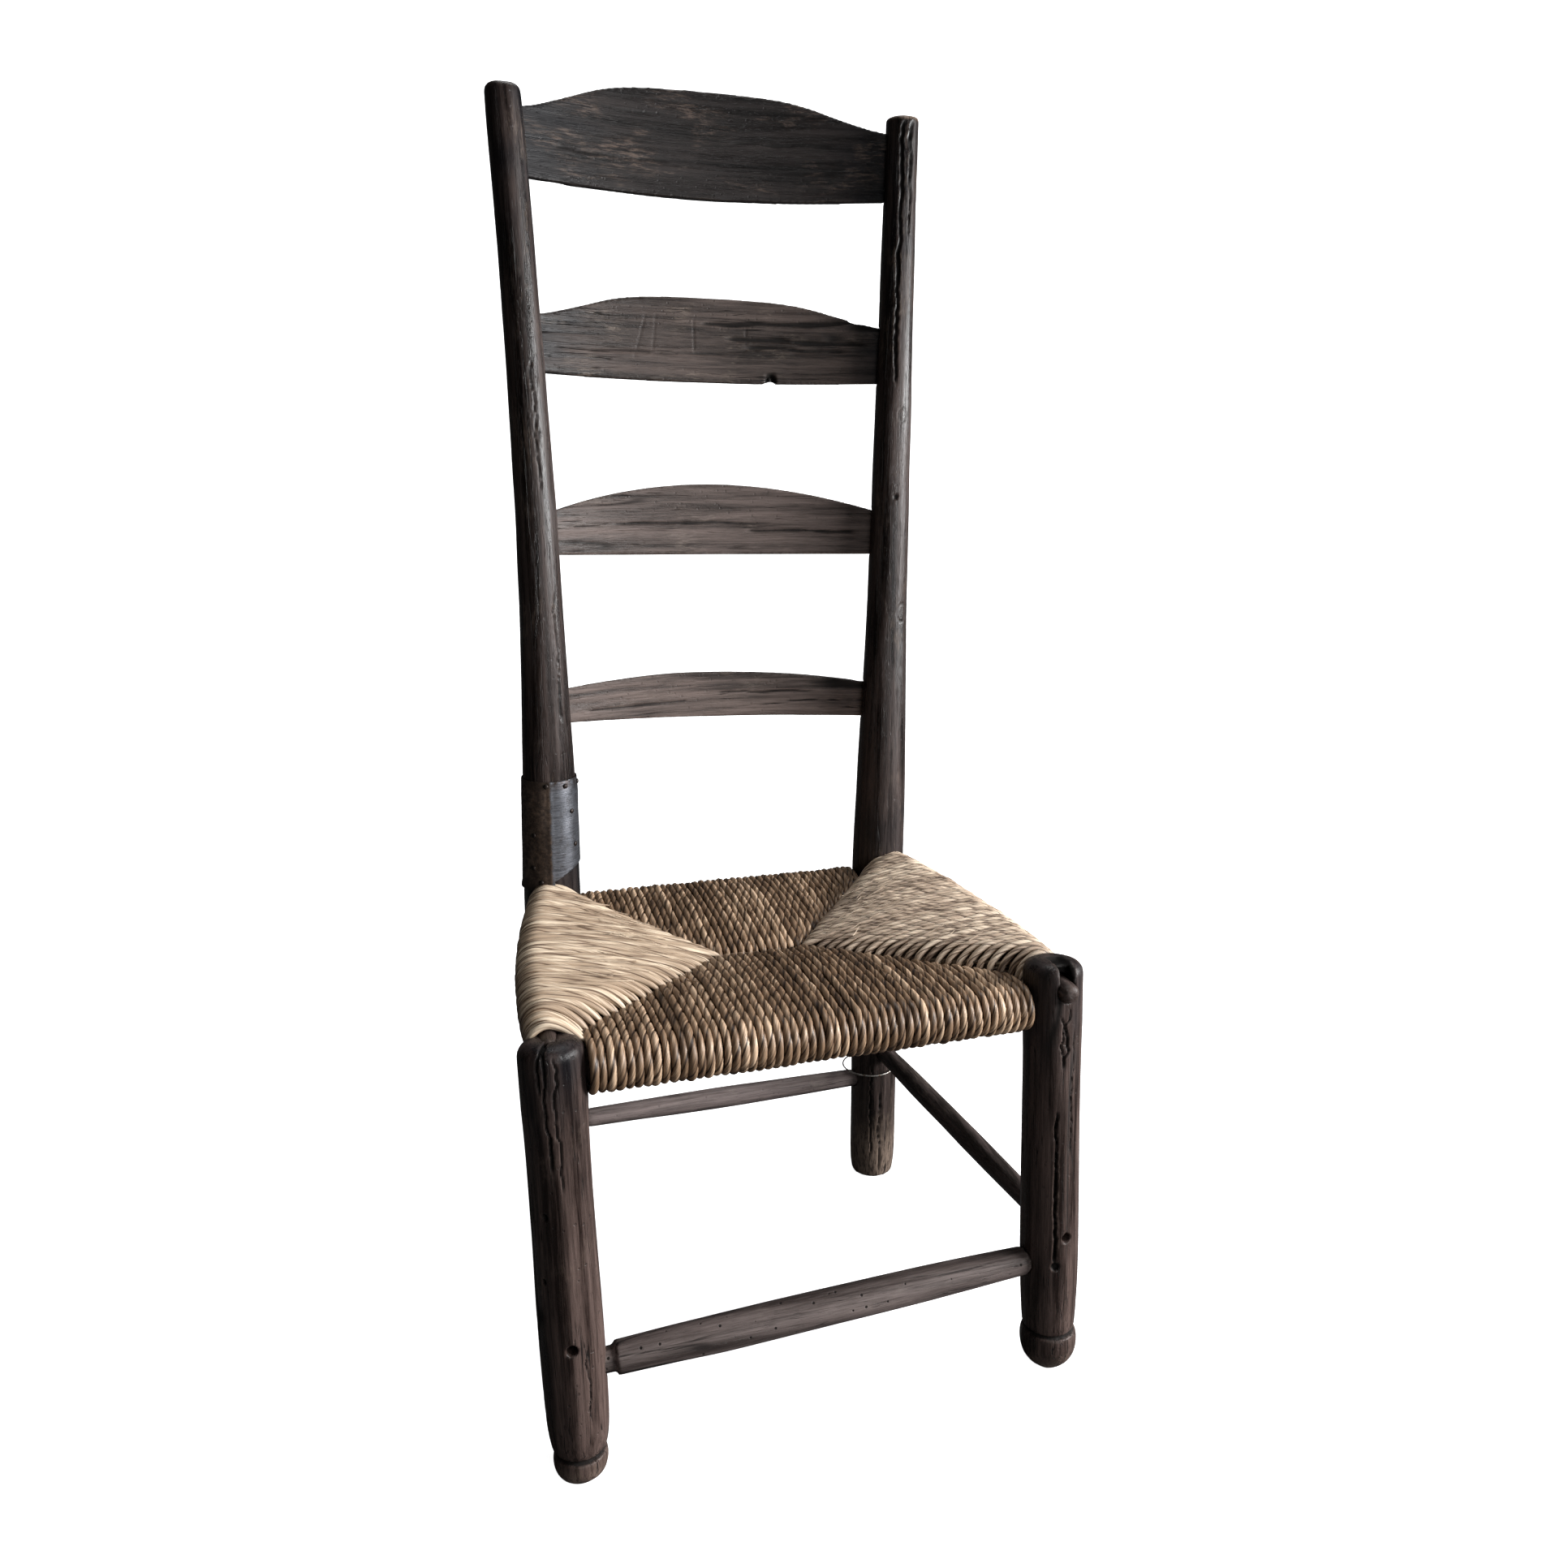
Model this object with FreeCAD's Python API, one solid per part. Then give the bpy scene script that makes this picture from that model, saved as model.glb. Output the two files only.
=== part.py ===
import FreeCAD
import Part
import math
import os

V = FreeCAD.Vector

# A low ladderback chair with a cord seat. All sizes are in millimetres.
# While it is built, the origin lies on the floor midway between the front feet.
# +X points to the sitter's left hand, +Y to the back, +Z up. The last step centres the chair.

# Front legs, turned on a lathe and raked back a little
front_foot_spacing = 389.2
front_top_spacing = 400.0
front_rake_per_height = 0.119
left_leg_height = 337.0
right_leg_height = 349.0
leg_dome_height = 11.0
leg_dome_flat_radius = 13.5
leg_dome_fullness = 0.93
# Each foot and shank is a list of (height, radius) on the leg's own axis
left_foot_outline = [(-6.0, 6.0), (0.0, 13.0), (4.0, 17.2), (10.0, 19.8), (19.0, 19.9)]
left_foot_groove = (22.0, 18.6)
left_shank_outline = [(26.0, 20.6), (38.0, 22.4), (54.0, 23.2), (108.0, 23.7), (198.0, 22.8), (288.0, 23.5)]
right_foot_outline = [(-6.0, 3.0), (0.0, 9.0), (5.0, 15.6), (12.0, 20.6), (22.0, 23.2), (31.0, 22.8)]
right_foot_groove = (36.0, 20.9)
right_shank_outline = [(40.0, 21.6), (58.0, 22.6), (108.0, 23.6), (198.0, 23.2), (298.0, 23.9)]

# Rear posts, shaved round and bent back above the seat
rear_foot_spacing = 321.6
rear_seat_spacing = 326.0
rear_top_spacing = 359.6
rear_foot_depth = 320.0
rear_seat_depth = 331.5
rear_top_depth = 382.0
post_seat_height = 324.0
left_post_height = 1034.0
right_post_height = 1038.0
back_sway = 10.0
post_flare_power = 1.8
post_lean_power = 1.3
# (height, radius) of a rear post from the floor up to where its top edge is rounded
post_outline = [
    (0.0, 20.6), (8.0, 21.8), (38.0, 23.1), (138.0, 23.8), (260.0, 25.4), (348.0, 25.5), (428.0, 24.1),
    (498.0, 22.3), (558.0, 20.7), (648.0, 18.8), (758.0, 17.4), (858.0, 16.4), (958.0, 15.6),
]
left_post_top_radius = 14.7
right_post_top_radius = 15.6
left_post_top_round = 6.0
right_post_top_round = 3.5

# Slats: height of the bottom edge at its middle, how much higher its +X end is,
# then the slat's own height at the -X end, in the middle and at the +X end
slat_sizes = {
    "slat_lowest": (493.0, -11.0, 28.0, 43.0, 32.0),
    "slat_lower_middle": (648.0, -4.0, 32.0, 65.0, 35.0),
    "slat_upper_middle": (804.5, -2.0, 47.0, 75.0, 49.0),
    "slat_top": (964.5, 2.0, 54.0, 90.5, 57.0),
}
slat_thickness = 7.5
slat_bow = 34.0
slat_tenon_past_axis = 3.0
mortise_clearance = 0.2
# Two shapes of the arched top edge: share of the half length, share of the rise in the middle
plain_arch = [(s / 4, 1 - (s / 4) ** 2) for s in range(4)]
waved_arch = [(0.0, 1.0), (0.25, 0.97), (0.4, 0.89), (0.53, 0.74), (0.66, 0.5), (0.8, 0.23), (0.92, 0.05)]
waved_slats = ("slat_upper_middle", "slat_top")

# Seat rails, round rods hidden in the cord seat
front_rail_diameter = 26.0
rear_rail_diameter = 23.0
side_rail_diameter = 23.0
rail_tenon_diameter = 14.0
through_tenon_diameter = 16.0
rail_tenon_past_axis = 6.0
front_rail_height = 310.5
rear_rail_height = 318.0
side_rail_front_height = 329.0
side_rail_rear_height = 341.0
side_rail_bow = 11.0
through_tenon_stand_out = 7.5
socket_clearance = 0.2

# Stretchers
stretcher_tenon_diameter = 16.0
stretcher_tenon_past_axis = 5.0
side_stretcher_diameter = 21.0
side_stretcher_end_diameter = 18.0
left_stretcher_front_height = 116.0
right_stretcher_front_height = 124.5
side_stretcher_rear_height = 143.0
rear_stretcher_diameter = 20.0
rear_stretcher_end_diameter = 17.5
rear_stretcher_height = 106.0
front_stretcher_diameter = 28.0
front_stretcher_left_end_diameter = 25.0
front_stretcher_right_end_diameter = 22.0
front_stretcher_left_height = 84.0
front_stretcher_right_height = 96.0
front_stretcher_tenon_diameter = 19.0
front_stretcher_left_gap = 7.0
shoulder_gap = 0.6

# The side stretchers' sockets break through the front legs, with the worn tenon tips inside
tenon_tip_diameter = 8.0
tenon_tip_recess = 2.0
tenon_tip_slope = 42.0

# Split in the right leg's top, down to the through tenon
split_width = 9.0
split_depth = 11.0

# Cord seat
cord_gap = 0.35
rail_wrap_gap = 0.8
cord_end_gap = 0.8
cord_leg_gap = 0.8
front_cord_count = 54
rear_cord_count = 43
side_cord_count = 42
left_tip = (-41.0, 182.0)
right_tip = (35.0, 182.0)
seat_middle_top_height = 321.0
seat_middle_bottom_height = 300.0
seat_crown_radius = 650.0
cord_bends = 5
stuffing_gap = 1.7
stuffing_rail_gap = 1.5

# Sheet-iron repair on the left rear post
sleeve_bottom = 350.0
sleeve_top = 451.0
sleeve_thickness = 0.8
sleeve_gap = 0.3
sleeve_open_angle = 60.0
sleeve_seam_direction = 75.0
sleeve_cut_start = 9.0
sleeve_cut_slope = 26.0
tack_head_diameter = 4.6
tack_head_height = 1.3
tack_shank_diameter = 1.4
tack_shank_length = 9.0
tack_clearance = 0.1
tack_head_gap = 0.3
# Direction round the post and share of the sheet's height of each tack
tack_places = [
    (150.0, 0.95), (198.0, 0.93), (257.0, 0.96), (298.0, 0.95), (345.0, 0.95),
    (312.0, 0.71), (319.0, 0.4), (228.0, 0.51), (226.0, 0.21), (243.0, 0.08),
]

# Wire tie on the right rear post
wire_diameter = 1.4
wire_tie_height = 119.5
wire_tie_tilt = 4.0
wire_slack = 4.0
wire_gap = 0.3

ends = (-1, 1)

# How a pipe shell joins two straight runs
mitred = 1


def front_leg_centre(side, height):
    """Centre of a front leg at a height. side is -1 for the -X leg and +1 for the +X leg."""
    spread = (front_top_spacing - front_foot_spacing) / left_leg_height
    return V(side * (front_foot_spacing + spread * height) / 2, front_rake_per_height * height, height)


def rear_post_centre(side, height):
    """Centre of a rear post at a height. Below the seat it is straight, above it flares and leans."""
    low = min(height, post_seat_height) / post_seat_height
    t = max(0.0, (height - post_seat_height) / (right_post_height - post_seat_height))
    spacing = rear_foot_spacing + (rear_seat_spacing - rear_foot_spacing) * low
    spacing += (rear_top_spacing - rear_seat_spacing) * t ** post_flare_power
    depth = rear_foot_depth + (rear_seat_depth - rear_foot_depth) * low
    depth += (rear_top_depth - rear_seat_depth) * t ** post_lean_power
    sway = back_sway * (1 - (1 - t) ** 2)
    return V(side * spacing / 2 + sway, depth, height)


def radius_at(outline, height):
    """Radius at a height, read between the points of an outline."""
    for (low, r_low), (high, r_high) in zip(outline, outline[1:]):
        if height <= high:
            return r_low + (r_high - r_low) * (height - low) / (high - low)
    return outline[-1][1]


def full_post_outline(side):
    if side < 0:
        return post_outline + [(left_post_height, left_post_top_radius)]
    return post_outline + [(right_post_height, right_post_top_radius)]


def post_radius(side, height):
    return radius_at(full_post_outline(side), height)


def leg_radius(side, height):
    return radius_at(left_shank_outline if side < 0 else right_shank_outline, height)


def placed_along(shape, start, end):
    """Turns a shape made along +Z so that it runs from start towards end."""
    shape.Placement = FreeCAD.Placement(start, FreeCAD.Rotation(V(0, 0, 1), end - start))
    return shape


def turned(groups):
    """A solid turned about Z. Each group of (height, radius) is a line or, from 3 points on, a curve."""
    edges = []
    first = groups[0][0]
    last = groups[-1][-1]
    for group in groups:
        points = [V(r, 0, z) for z, r in group]
        if len(points) == 2:
            edges.append(Part.LineSegment(points[0], points[1]).toShape())
        else:
            curve = Part.BSplineCurve()
            curve.interpolate(points)
            edges.append(curve.toShape())
    edges.append(Part.LineSegment(V(last[1], 0, last[0]), V(0, 0, last[0])).toShape())
    edges.append(Part.LineSegment(V(0, 0, last[0]), V(0, 0, first[0])).toShape())
    edges.append(Part.LineSegment(V(0, 0, first[0]), V(first[1], 0, first[0])).toShape())
    face = Part.Face(Part.Wire(edges))
    return face.revolve(V(0, 0, 0), V(0, 0, 1), 360)


def one_solid(shape):
    """The single solid of a shape, without splitter edges."""
    return shape.removeSplitter().Solids[0]


# Front legs
def front_leg(side, height, foot, groove, shank):
    """A turned leg: worn foot, scribed groove, swelling shank and domed top, cut flat on the floor."""
    top_radius = shank[-1][1]
    shoulder = (height - leg_dome_height, top_radius)
    half_up = height - leg_dome_height * 0.45
    dome = [shoulder, (half_up, top_radius * leg_dome_fullness), (height, leg_dome_flat_radius)]
    leg = turned([foot, [foot[-1], groove], [groove, shank[0]], shank, [shank[-1], shoulder], dome])
    placed_along(leg, front_leg_centre(side, 0), front_leg_centre(side, height))
    block = 4 * top_radius
    under = Part.makeBox(block, block, block, front_leg_centre(side, 0) - V(block / 2, block / 2, block))
    return leg.cut(under)


def split_cut():
    """The broken-out channel in the right leg's top, open to the front, down to the through tenon."""
    top = front_leg_centre(1, side_rail_front_height)
    front = top.y - leg_radius(1, top.z)
    reach = 2 * leg_radius(1, top.z)
    return Part.makeBox(
        split_width, reach + split_depth, right_leg_height,
        V(top.x - split_width / 2, front - reach, top.z),
    )


# Rear posts
def rear_post(side, top_round):
    """A bent round post, lofted through level circles, with its top edge rounded."""
    rings = []
    outline = full_post_outline(side)
    for height, radius in outline:
        circle = Part.Circle(rear_post_centre(side, height), V(0, 0, 1), radius)
        rings.append(Part.Wire(circle.toShape()))
    post = Part.makeLoft(rings, True, False)
    top_edges = [e for e in post.Edges if e.BoundBox.ZMin > outline[-1][0] - 0.01]
    return post.makeFillet(top_round, top_edges)


# Slats
def slat_outline(name, length, grow):
    """The slat's flat outline about its middle, with its arched top edge."""
    left_height, mid_height, right_height = slat_sizes[name][2:]
    arch = waved_arch if name in waved_slats else plain_arch
    halves = {}
    for side, end_height in ((-1, left_height), (1, right_height)):
        half = [V(side * length * s, 0, end_height + (mid_height - end_height) * f + grow) for s, f in arch]
        halves[side] = half + [V(side * length, 0, end_height + grow)]
    top = list(reversed(halves[-1])) + halves[1][1:]
    curve = Part.BSplineCurve()
    curve.interpolate(top)
    low_right = V(length, 0, -grow)
    low_left = V(-length, 0, -grow)
    edges = [curve.toShape()]
    for a, b in ((top[-1], low_right), (low_right, low_left), (low_left, top[0])):
        edges.append(Part.LineSegment(a, b).toShape())
    return Part.Face(Part.Wire(edges))


def slat(name, grow=0.0):
    """A steam-bent slat. grow makes the larger copy that cuts its mortises."""
    bottom, rise, left_height, mid_height, right_height = slat_sizes[name]
    left = rear_post_centre(-1, bottom + left_height / 2)
    right = rear_post_centre(1, bottom + right_height / 2)
    half = (right.x - left.x) / 2
    length = half + slat_tenon_past_axis + grow
    bow_radius = (half ** 2 + slat_bow ** 2) / (2 * slat_bow)
    thickness = slat_thickness + 2 * grow
    depth = slat_bow + 4 * slat_thickness
    board = slat_outline(name, length, grow).extrude(V(0, 2 * depth, 0))
    board.translate(V(0, -depth, 0))
    centre = V(0, slat_bow - bow_radius, -grow)
    tall = mid_height + 2 * grow
    bend = Part.makeCylinder(bow_radius + thickness / 2, tall, centre)
    bend = bend.cut(Part.makeCylinder(bow_radius - thickness / 2, tall, centre))
    shape = board.common(bend)
    shape.rotate(V(0, 0, 0), V(0, 1, 0), -math.degrees(math.atan2(rise, 2 * half)))
    above = rear_post_centre(1, bottom + right_height)
    below = rear_post_centre(1, bottom)
    shape.rotate(V(0, 0, 0), V(1, 0, 0), -math.degrees(math.atan2(above.y - below.y, above.z - below.z)))
    shape.translate(V((left.x + right.x) / 2, below.y, bottom))
    return shape


# Rails and stretchers
def shoulder_distance(centre_of, radius_of, side, height, other, diameter, gap):
    """How far from a leg's axis a bar's square end clears the leg, which may lean towards the bar."""
    centre = centre_of(side, height)
    axis = (centre_of(side, height + diameter) - centre_of(side, height - diameter)).normalize()
    lean = abs(axis.dot((other - centre).normalize()))
    radius = max(radius_of(side, height + step * diameter / 2) for step in (-1, 0, 1))
    return radius + gap + lean * diameter / 2


def bar(start, end, tenon_diameter, past_axis, shoulders, diameters):
    """A shaved bar between two legs' axes: its shoulders stand off the axes, its tenons run past them."""
    length = (end - start).Length
    first, second = shoulders[0], length - shoulders[1]
    tenon = tenon_diameter / 2
    left, middle, right = (d / 2 for d in diameters)
    shape = turned([
        [(-past_axis, tenon), (first, tenon)],
        [(first, tenon), (first, left)],
        [(first, left), ((first + second) / 2, middle), (second, right)],
        [(second, right), (second, tenon)],
        [(second, tenon), (length + past_axis, tenon)],
    ])
    return placed_along(shape, start, end)


def socket(centre, other, past_axis, tenon_diameter):
    """The drilled hole for a tenon: from past the leg's axis out towards the other end."""
    along = (other - centre).normalize()
    deep = past_axis + 2 * socket_clearance
    reach = deep + 4 * tenon_diameter
    return Part.makeCylinder(tenon_diameter / 2 + socket_clearance, reach, centre - along * deep, along)


# Bowed side rails
def side_rail_lines(side):
    """The side rail's bowed body as an arc, the directions of its two tenons, and where the body ends."""
    front = front_leg_centre(side, side_rail_front_height)
    rear = rear_post_centre(side, side_rail_rear_height)
    chord = (rear - front).normalize()
    outward = (V(0, 0, 1).cross(chord) * -side).normalize()
    whole = Part.Arc(front, (front + rear) / 2 + outward * side_rail_bow, rear)
    length = whole.length()
    from_front = shoulder_distance(
        front_leg_centre, leg_radius, side, front.z, rear, side_rail_diameter, shoulder_gap
    )
    from_rear = shoulder_distance(
        rear_post_centre, post_radius, side, rear.z, front, side_rail_diameter, shoulder_gap
    )
    first = whole.parameterAtDistance(from_front)
    middle = whole.parameterAtDistance((from_front + length - from_rear) / 2)
    last = whole.parameterAtDistance(length - from_rear)
    arc = Part.Arc(whole.value(first), whole.value(middle), whole.value(last))
    return arc, whole.tangent(first)[0] * -1, whole.tangent(last)[0], (from_front, from_rear)


def side_rail(side):
    """A bowed side rail. The right one's front tenon passes the leg and ends in a rounded nub."""
    arc, forward, backward, (from_front, from_rear) = side_rail_lines(side)
    start = arc.value(arc.FirstParameter)
    stop = arc.value(arc.LastParameter)
    ring = Part.Wire(Part.Circle(start, forward, side_rail_diameter / 2).toShape())
    body = Part.Wire([arc.toShape()]).makePipeShell([ring], True, False)
    length = from_front + rail_tenon_past_axis
    diameter = rail_tenon_diameter
    if side > 0:
        length = from_front + leg_radius(side, side_rail_front_height) + through_tenon_stand_out
        diameter = through_tenon_diameter
    front_tenon = Part.makeCylinder(diameter / 2, length, start, forward)
    if side > 0:
        end = start + forward * length
        tip = [e for e in front_tenon.Edges if e.CenterOfMass.distanceToPoint(end) < 0.1]
        front_tenon = front_tenon.makeFillet(diameter * 0.36, tip)
    rear_tenon = Part.makeCylinder(rail_tenon_diameter / 2, from_rear + rail_tenon_past_axis, stop, backward)
    return one_solid(body.fuse(front_tenon).fuse(rear_tenon))


def side_rail_sockets(side):
    """The holes for a side rail's tenons in its front leg and rear post."""
    arc, forward, backward, (from_front, from_rear) = side_rail_lines(side)
    start = arc.value(arc.FirstParameter)
    stop = arc.value(arc.LastParameter)
    slack = side_rail_diameter / 2
    past = rail_tenon_past_axis + slack + 2 * socket_clearance
    front_depth = from_front + past
    rear_depth = from_rear + past
    diameter = rail_tenon_diameter
    if side > 0:
        front_depth = 4 * from_front
        diameter = through_tenon_diameter
    front = Part.makeCylinder(diameter / 2 + socket_clearance, front_depth, start - forward * slack, forward)
    rear_radius = rail_tenon_diameter / 2 + socket_clearance
    return front, Part.makeCylinder(rear_radius, rear_depth, stop - backward * slack, backward)


# Side stretchers
def side_stretcher_ends(side):
    front_height = left_stretcher_front_height if side < 0 else right_stretcher_front_height
    return front_leg_centre(side, front_height), rear_post_centre(side, side_stretcher_rear_height)


def side_stretcher(side):
    """A side stretcher, whose front tenon has a thin tip, broken off on a slant inside the leg's face."""
    front, rear = side_stretcher_ends(side)
    diameter = side_stretcher_end_diameter
    shoulders = (
        shoulder_distance(front_leg_centre, leg_radius, side, front.z, rear, diameter, shoulder_gap),
        shoulder_distance(rear_post_centre, post_radius, side, rear.z, front, diameter, shoulder_gap),
    )
    diameters = (diameter, side_stretcher_diameter, diameter)
    shape = bar(front, rear, stretcher_tenon_diameter, stretcher_tenon_past_axis, shoulders, diameters)
    reach = leg_radius(side, front.z) - tenon_tip_recess
    size = 4 * tenon_tip_diameter
    broken = Part.makeBox(size, size, size, V(-size / 2, -size / 2, 0))
    broken.rotate(V(0, 0, 0), V(1, 0, 0), tenon_tip_slope)
    broken.translate(V(0, 0, reach - tenon_tip_diameter / 2))
    tip = Part.makeCylinder(tenon_tip_diameter / 2, reach).cut(broken)
    return one_solid(shape.fuse(placed_along(tip, front, front + front - rear)))


def side_stretcher_sockets(side):
    """The holes for a side stretcher, the front one breaking through the leg's face."""
    front, rear = side_stretcher_ends(side)
    front_hole = socket(front, rear, stretcher_tenon_past_axis, stretcher_tenon_diameter)
    along = (front - rear).normalize()
    reach = 2 * leg_radius(side, front.z)
    tip_hole = Part.makeCylinder(tenon_tip_diameter / 2 + socket_clearance, reach, front, along)
    rear_hole = socket(rear, front, stretcher_tenon_past_axis, stretcher_tenon_diameter)
    return front_hole.fuse(tip_hole), rear_hole


# Cord seat
def crowned_tangent(centre, end, wrap_radius, crown_radius, turn):
    """Where an arched run from end meets the turn round the rail, and the middle of that run.

    All points are (across, up). turn is +1 or -1 for which side of the rail the run comes to.
    """
    across, up = end[0] - centre[0], end[1] - centre[1]
    distance = math.hypot(across, up)
    inner = crown_radius - wrap_radius
    angle = math.acos((distance ** 2 + inner ** 2 - crown_radius ** 2) / (2 * distance * inner))
    direction = math.atan2(up, across) - turn * angle
    crown = (centre[0] + inner * math.cos(direction), centre[1] + inner * math.sin(direction))
    touch = (centre[0] - wrap_radius * math.cos(direction), centre[1] - wrap_radius * math.sin(direction))
    chord = ((touch[0] + end[0]) / 2 - crown[0], (touch[1] + end[1]) / 2 - crown[1])
    stretch = crown_radius / math.hypot(*chord)
    return touch, (crown[0] + chord[0] * stretch, crown[1] + chord[1] * stretch)


def cord_turn(cord_radius, centre, wrap_radius, top_end, bottom_end, outward, to_space):
    """One turn of cord over a rail: along the top, round the rail in short bends and back underneath."""
    turn = -outward
    top, top_middle = crowned_tangent(centre, top_end, wrap_radius, seat_crown_radius, turn)
    bottom, bottom_middle = crowned_tangent(centre, bottom_end, wrap_radius, seat_crown_radius, -turn)
    start = math.atan2(top[1] - centre[1], top[0] - centre[0])
    stop = math.atan2(bottom[1] - centre[1], bottom[0] - centre[0])
    if outward < 0:
        stop += 2 * math.pi
    step = (stop - start) / cord_bends
    corner_radius = wrap_radius / math.cos(step / 2)
    points = [top_end, top_middle]
    for k in range(cord_bends):
        angle = start + (k + 0.5) * step
        points.append((centre[0] + corner_radius * math.cos(angle), centre[1] + corner_radius * math.sin(angle)))
    points += [bottom_middle, bottom_end]
    path = [to_space(*point) for point in points]
    ring = Part.Wire(Part.Circle(path[0], path[1] - path[0], cord_radius).toShape())
    return Part.makePolygon(path).makePipeShell([ring], True, False, mitred)


def inner_corner(side, end):
    """Where the side and front (or rear) weave meet beside a leg: clear of the leg's inner faces."""
    if end == "front":
        centre = front_leg_centre(side, front_rail_height)
        radius = leg_radius(side, front_rail_height) + cord_leg_gap
        leaned = front_leg_centre(side, side_rail_front_height + side_rail_diameter / 2)
        return V(centre.x - side * radius, leaned.y + radius, 0)
    centre = rear_post_centre(side, rear_rail_height)
    radius = post_radius(side, rear_rail_height) + cord_leg_gap
    return V(centre.x - side * radius, centre.y - radius, 0)


def cross_rail(end, x):
    """Depth and height of the front or rear rail's axis at x."""
    if end == "front":
        left, right = (front_leg_centre(side, front_rail_height) for side in ends)
    else:
        left, right = (rear_post_centre(side, rear_rail_height) for side in ends)
    share = (x - left.x) / (right.x - left.x)
    return left.y + (right.y - left.y) * share, left.z


def side_rail_at(side, y):
    """X and height of a side rail's bowed axis at a depth y."""
    arc = side_rail_lines(side)[0]
    low, high = arc.FirstParameter, arc.LastParameter
    for _ in range(40):
        middle = (low + high) / 2
        if arc.value(middle).y < y:
            low = middle
        else:
            high = middle
    return arc.value(low).x, arc.value(low).z


def cord_size(end):
    """Pitch and radius of the cords over a rail, and the radius at which they turn round it."""
    if end in ends:
        span = inner_corner(end, "rear").y - inner_corner(end, "front").y
        count, diameter = side_cord_count, side_rail_diameter
    else:
        span = inner_corner(1, end).x - inner_corner(-1, end).x
        count, diameter = front_cord_count, front_rail_diameter
        if end == "rear":
            count, diameter = rear_cord_count, rear_rail_diameter
    pitch = span / count
    radius = (pitch - cord_gap) / 2
    return pitch, radius, diameter / 2 + rail_wrap_gap + radius


def run_ends(share, rail_height, wrap_radius, reach):
    """Ends of the top and bottom runs of a turn that goes this share of the way to the seat's middle."""
    top = rail_height + wrap_radius
    bottom = rail_height - wrap_radius
    top_end = (reach, top + (seat_middle_top_height - top) * share)
    return top_end, (reach, bottom + (seat_middle_bottom_height - bottom) * share)


def cross_weave(end):
    """The turns of cord over the front or the rear rail."""
    inward = 1 if end == "front" else -1
    pitch, cord_radius, wrap_radius = cord_size(end)
    left, right = inner_corner(-1, end), inner_corner(1, end)
    turns = []
    x = left.x + pitch / 2
    while x < right.x:
        rail_y, rail_z = cross_rail(end, x)
        reach = left_tip[1]
        for corner, tip, side in ((left, left_tip, -1), (right, right_tip, 1)):
            edge = x + side * cord_radius
            if (edge - tip[0]) * side > 0:
                reach = corner.y + (tip[1] - corner.y) * (edge - corner.x) / (tip[0] - corner.x)
        reach -= inward * cord_end_gap
        share = (reach - rail_y) / (left_tip[1] - rail_y)
        top_end, bottom_end = run_ends(share, rail_z, wrap_radius, reach)
        turns.append(cord_turn(
            cord_radius, (rail_y, rail_z), wrap_radius, top_end, bottom_end, -inward,
            lambda y, z, x=x: V(x, y, z),
        ))
        x += pitch
    return Part.makeCompound(turns)


def side_weave(side):
    """The turns of cord over a side rail."""
    pitch, cord_radius, wrap_radius = cord_size(side)
    tip = left_tip if side < 0 else right_tip
    front, rear = inner_corner(side, "front"), inner_corner(side, "rear")
    turns = []
    y = front.y + pitch / 2
    while y < rear.y:
        rail_x, rail_z = side_rail_at(side, y)
        corner, edge = (front, y - cord_radius) if y < tip[1] else (rear, y + cord_radius)
        reach = corner.x + (tip[0] - corner.x) * (edge - corner.y) / (tip[1] - corner.y)
        reach += side * cord_end_gap
        share = (reach - rail_x) / (tip[0] - rail_x)
        top_end, bottom_end = run_ends(share, rail_z, wrap_radius, reach)
        turns.append(cord_turn(
            cord_radius, (rail_x, rail_z), wrap_radius, top_end, bottom_end, side,
            lambda x, z, y=y: V(x, y, z),
        ))
        y += pitch
    return Part.makeCompound(turns)


# Stuffing
def pad(profile, plan, along):
    """A pad of one profile, run along a direction and trimmed to its plan."""
    run = Part.Face(Part.makePolygon(profile + [profile[0]])).extrude(along * 2)
    run.translate(along * -1)
    outline = Part.Face(Part.makePolygon([V(p[0], p[1], 0) for p in plan + [plan[0]]]))
    return run.common(outline.extrude(V(0, 0, 2 * post_seat_height)))


def cross_stuffing(end):
    """The loose straw between the top and bottom turns of the front or rear weave."""
    inward = 1 if end == "front" else -1
    rail_y, rail_z = cross_rail(end, 0)
    cord_radius, wrap_radius = cord_size(end)[1:]
    rise = wrap_radius - cord_radius - 2 * stuffing_gap
    slack = cord_radius + stuffing_gap
    edge_y = rail_y + inward * (wrap_radius - cord_radius - rail_wrap_gap + stuffing_rail_gap)
    profile = [
        V(0, edge_y, rail_z + rise),
        V(0, left_tip[1], seat_middle_top_height - slack),
        V(0, left_tip[1], seat_middle_bottom_height + slack),
        V(0, edge_y, rail_z - rise),
    ]
    left, right = inner_corner(-1, end), inner_corner(1, end)
    plan = [(left.x, rail_y), (left.x, left.y), left_tip, right_tip, (right.x, right.y), (right.x, rail_y)]
    return pad(profile, plan, V(front_top_spacing, 0, 0))


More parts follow.
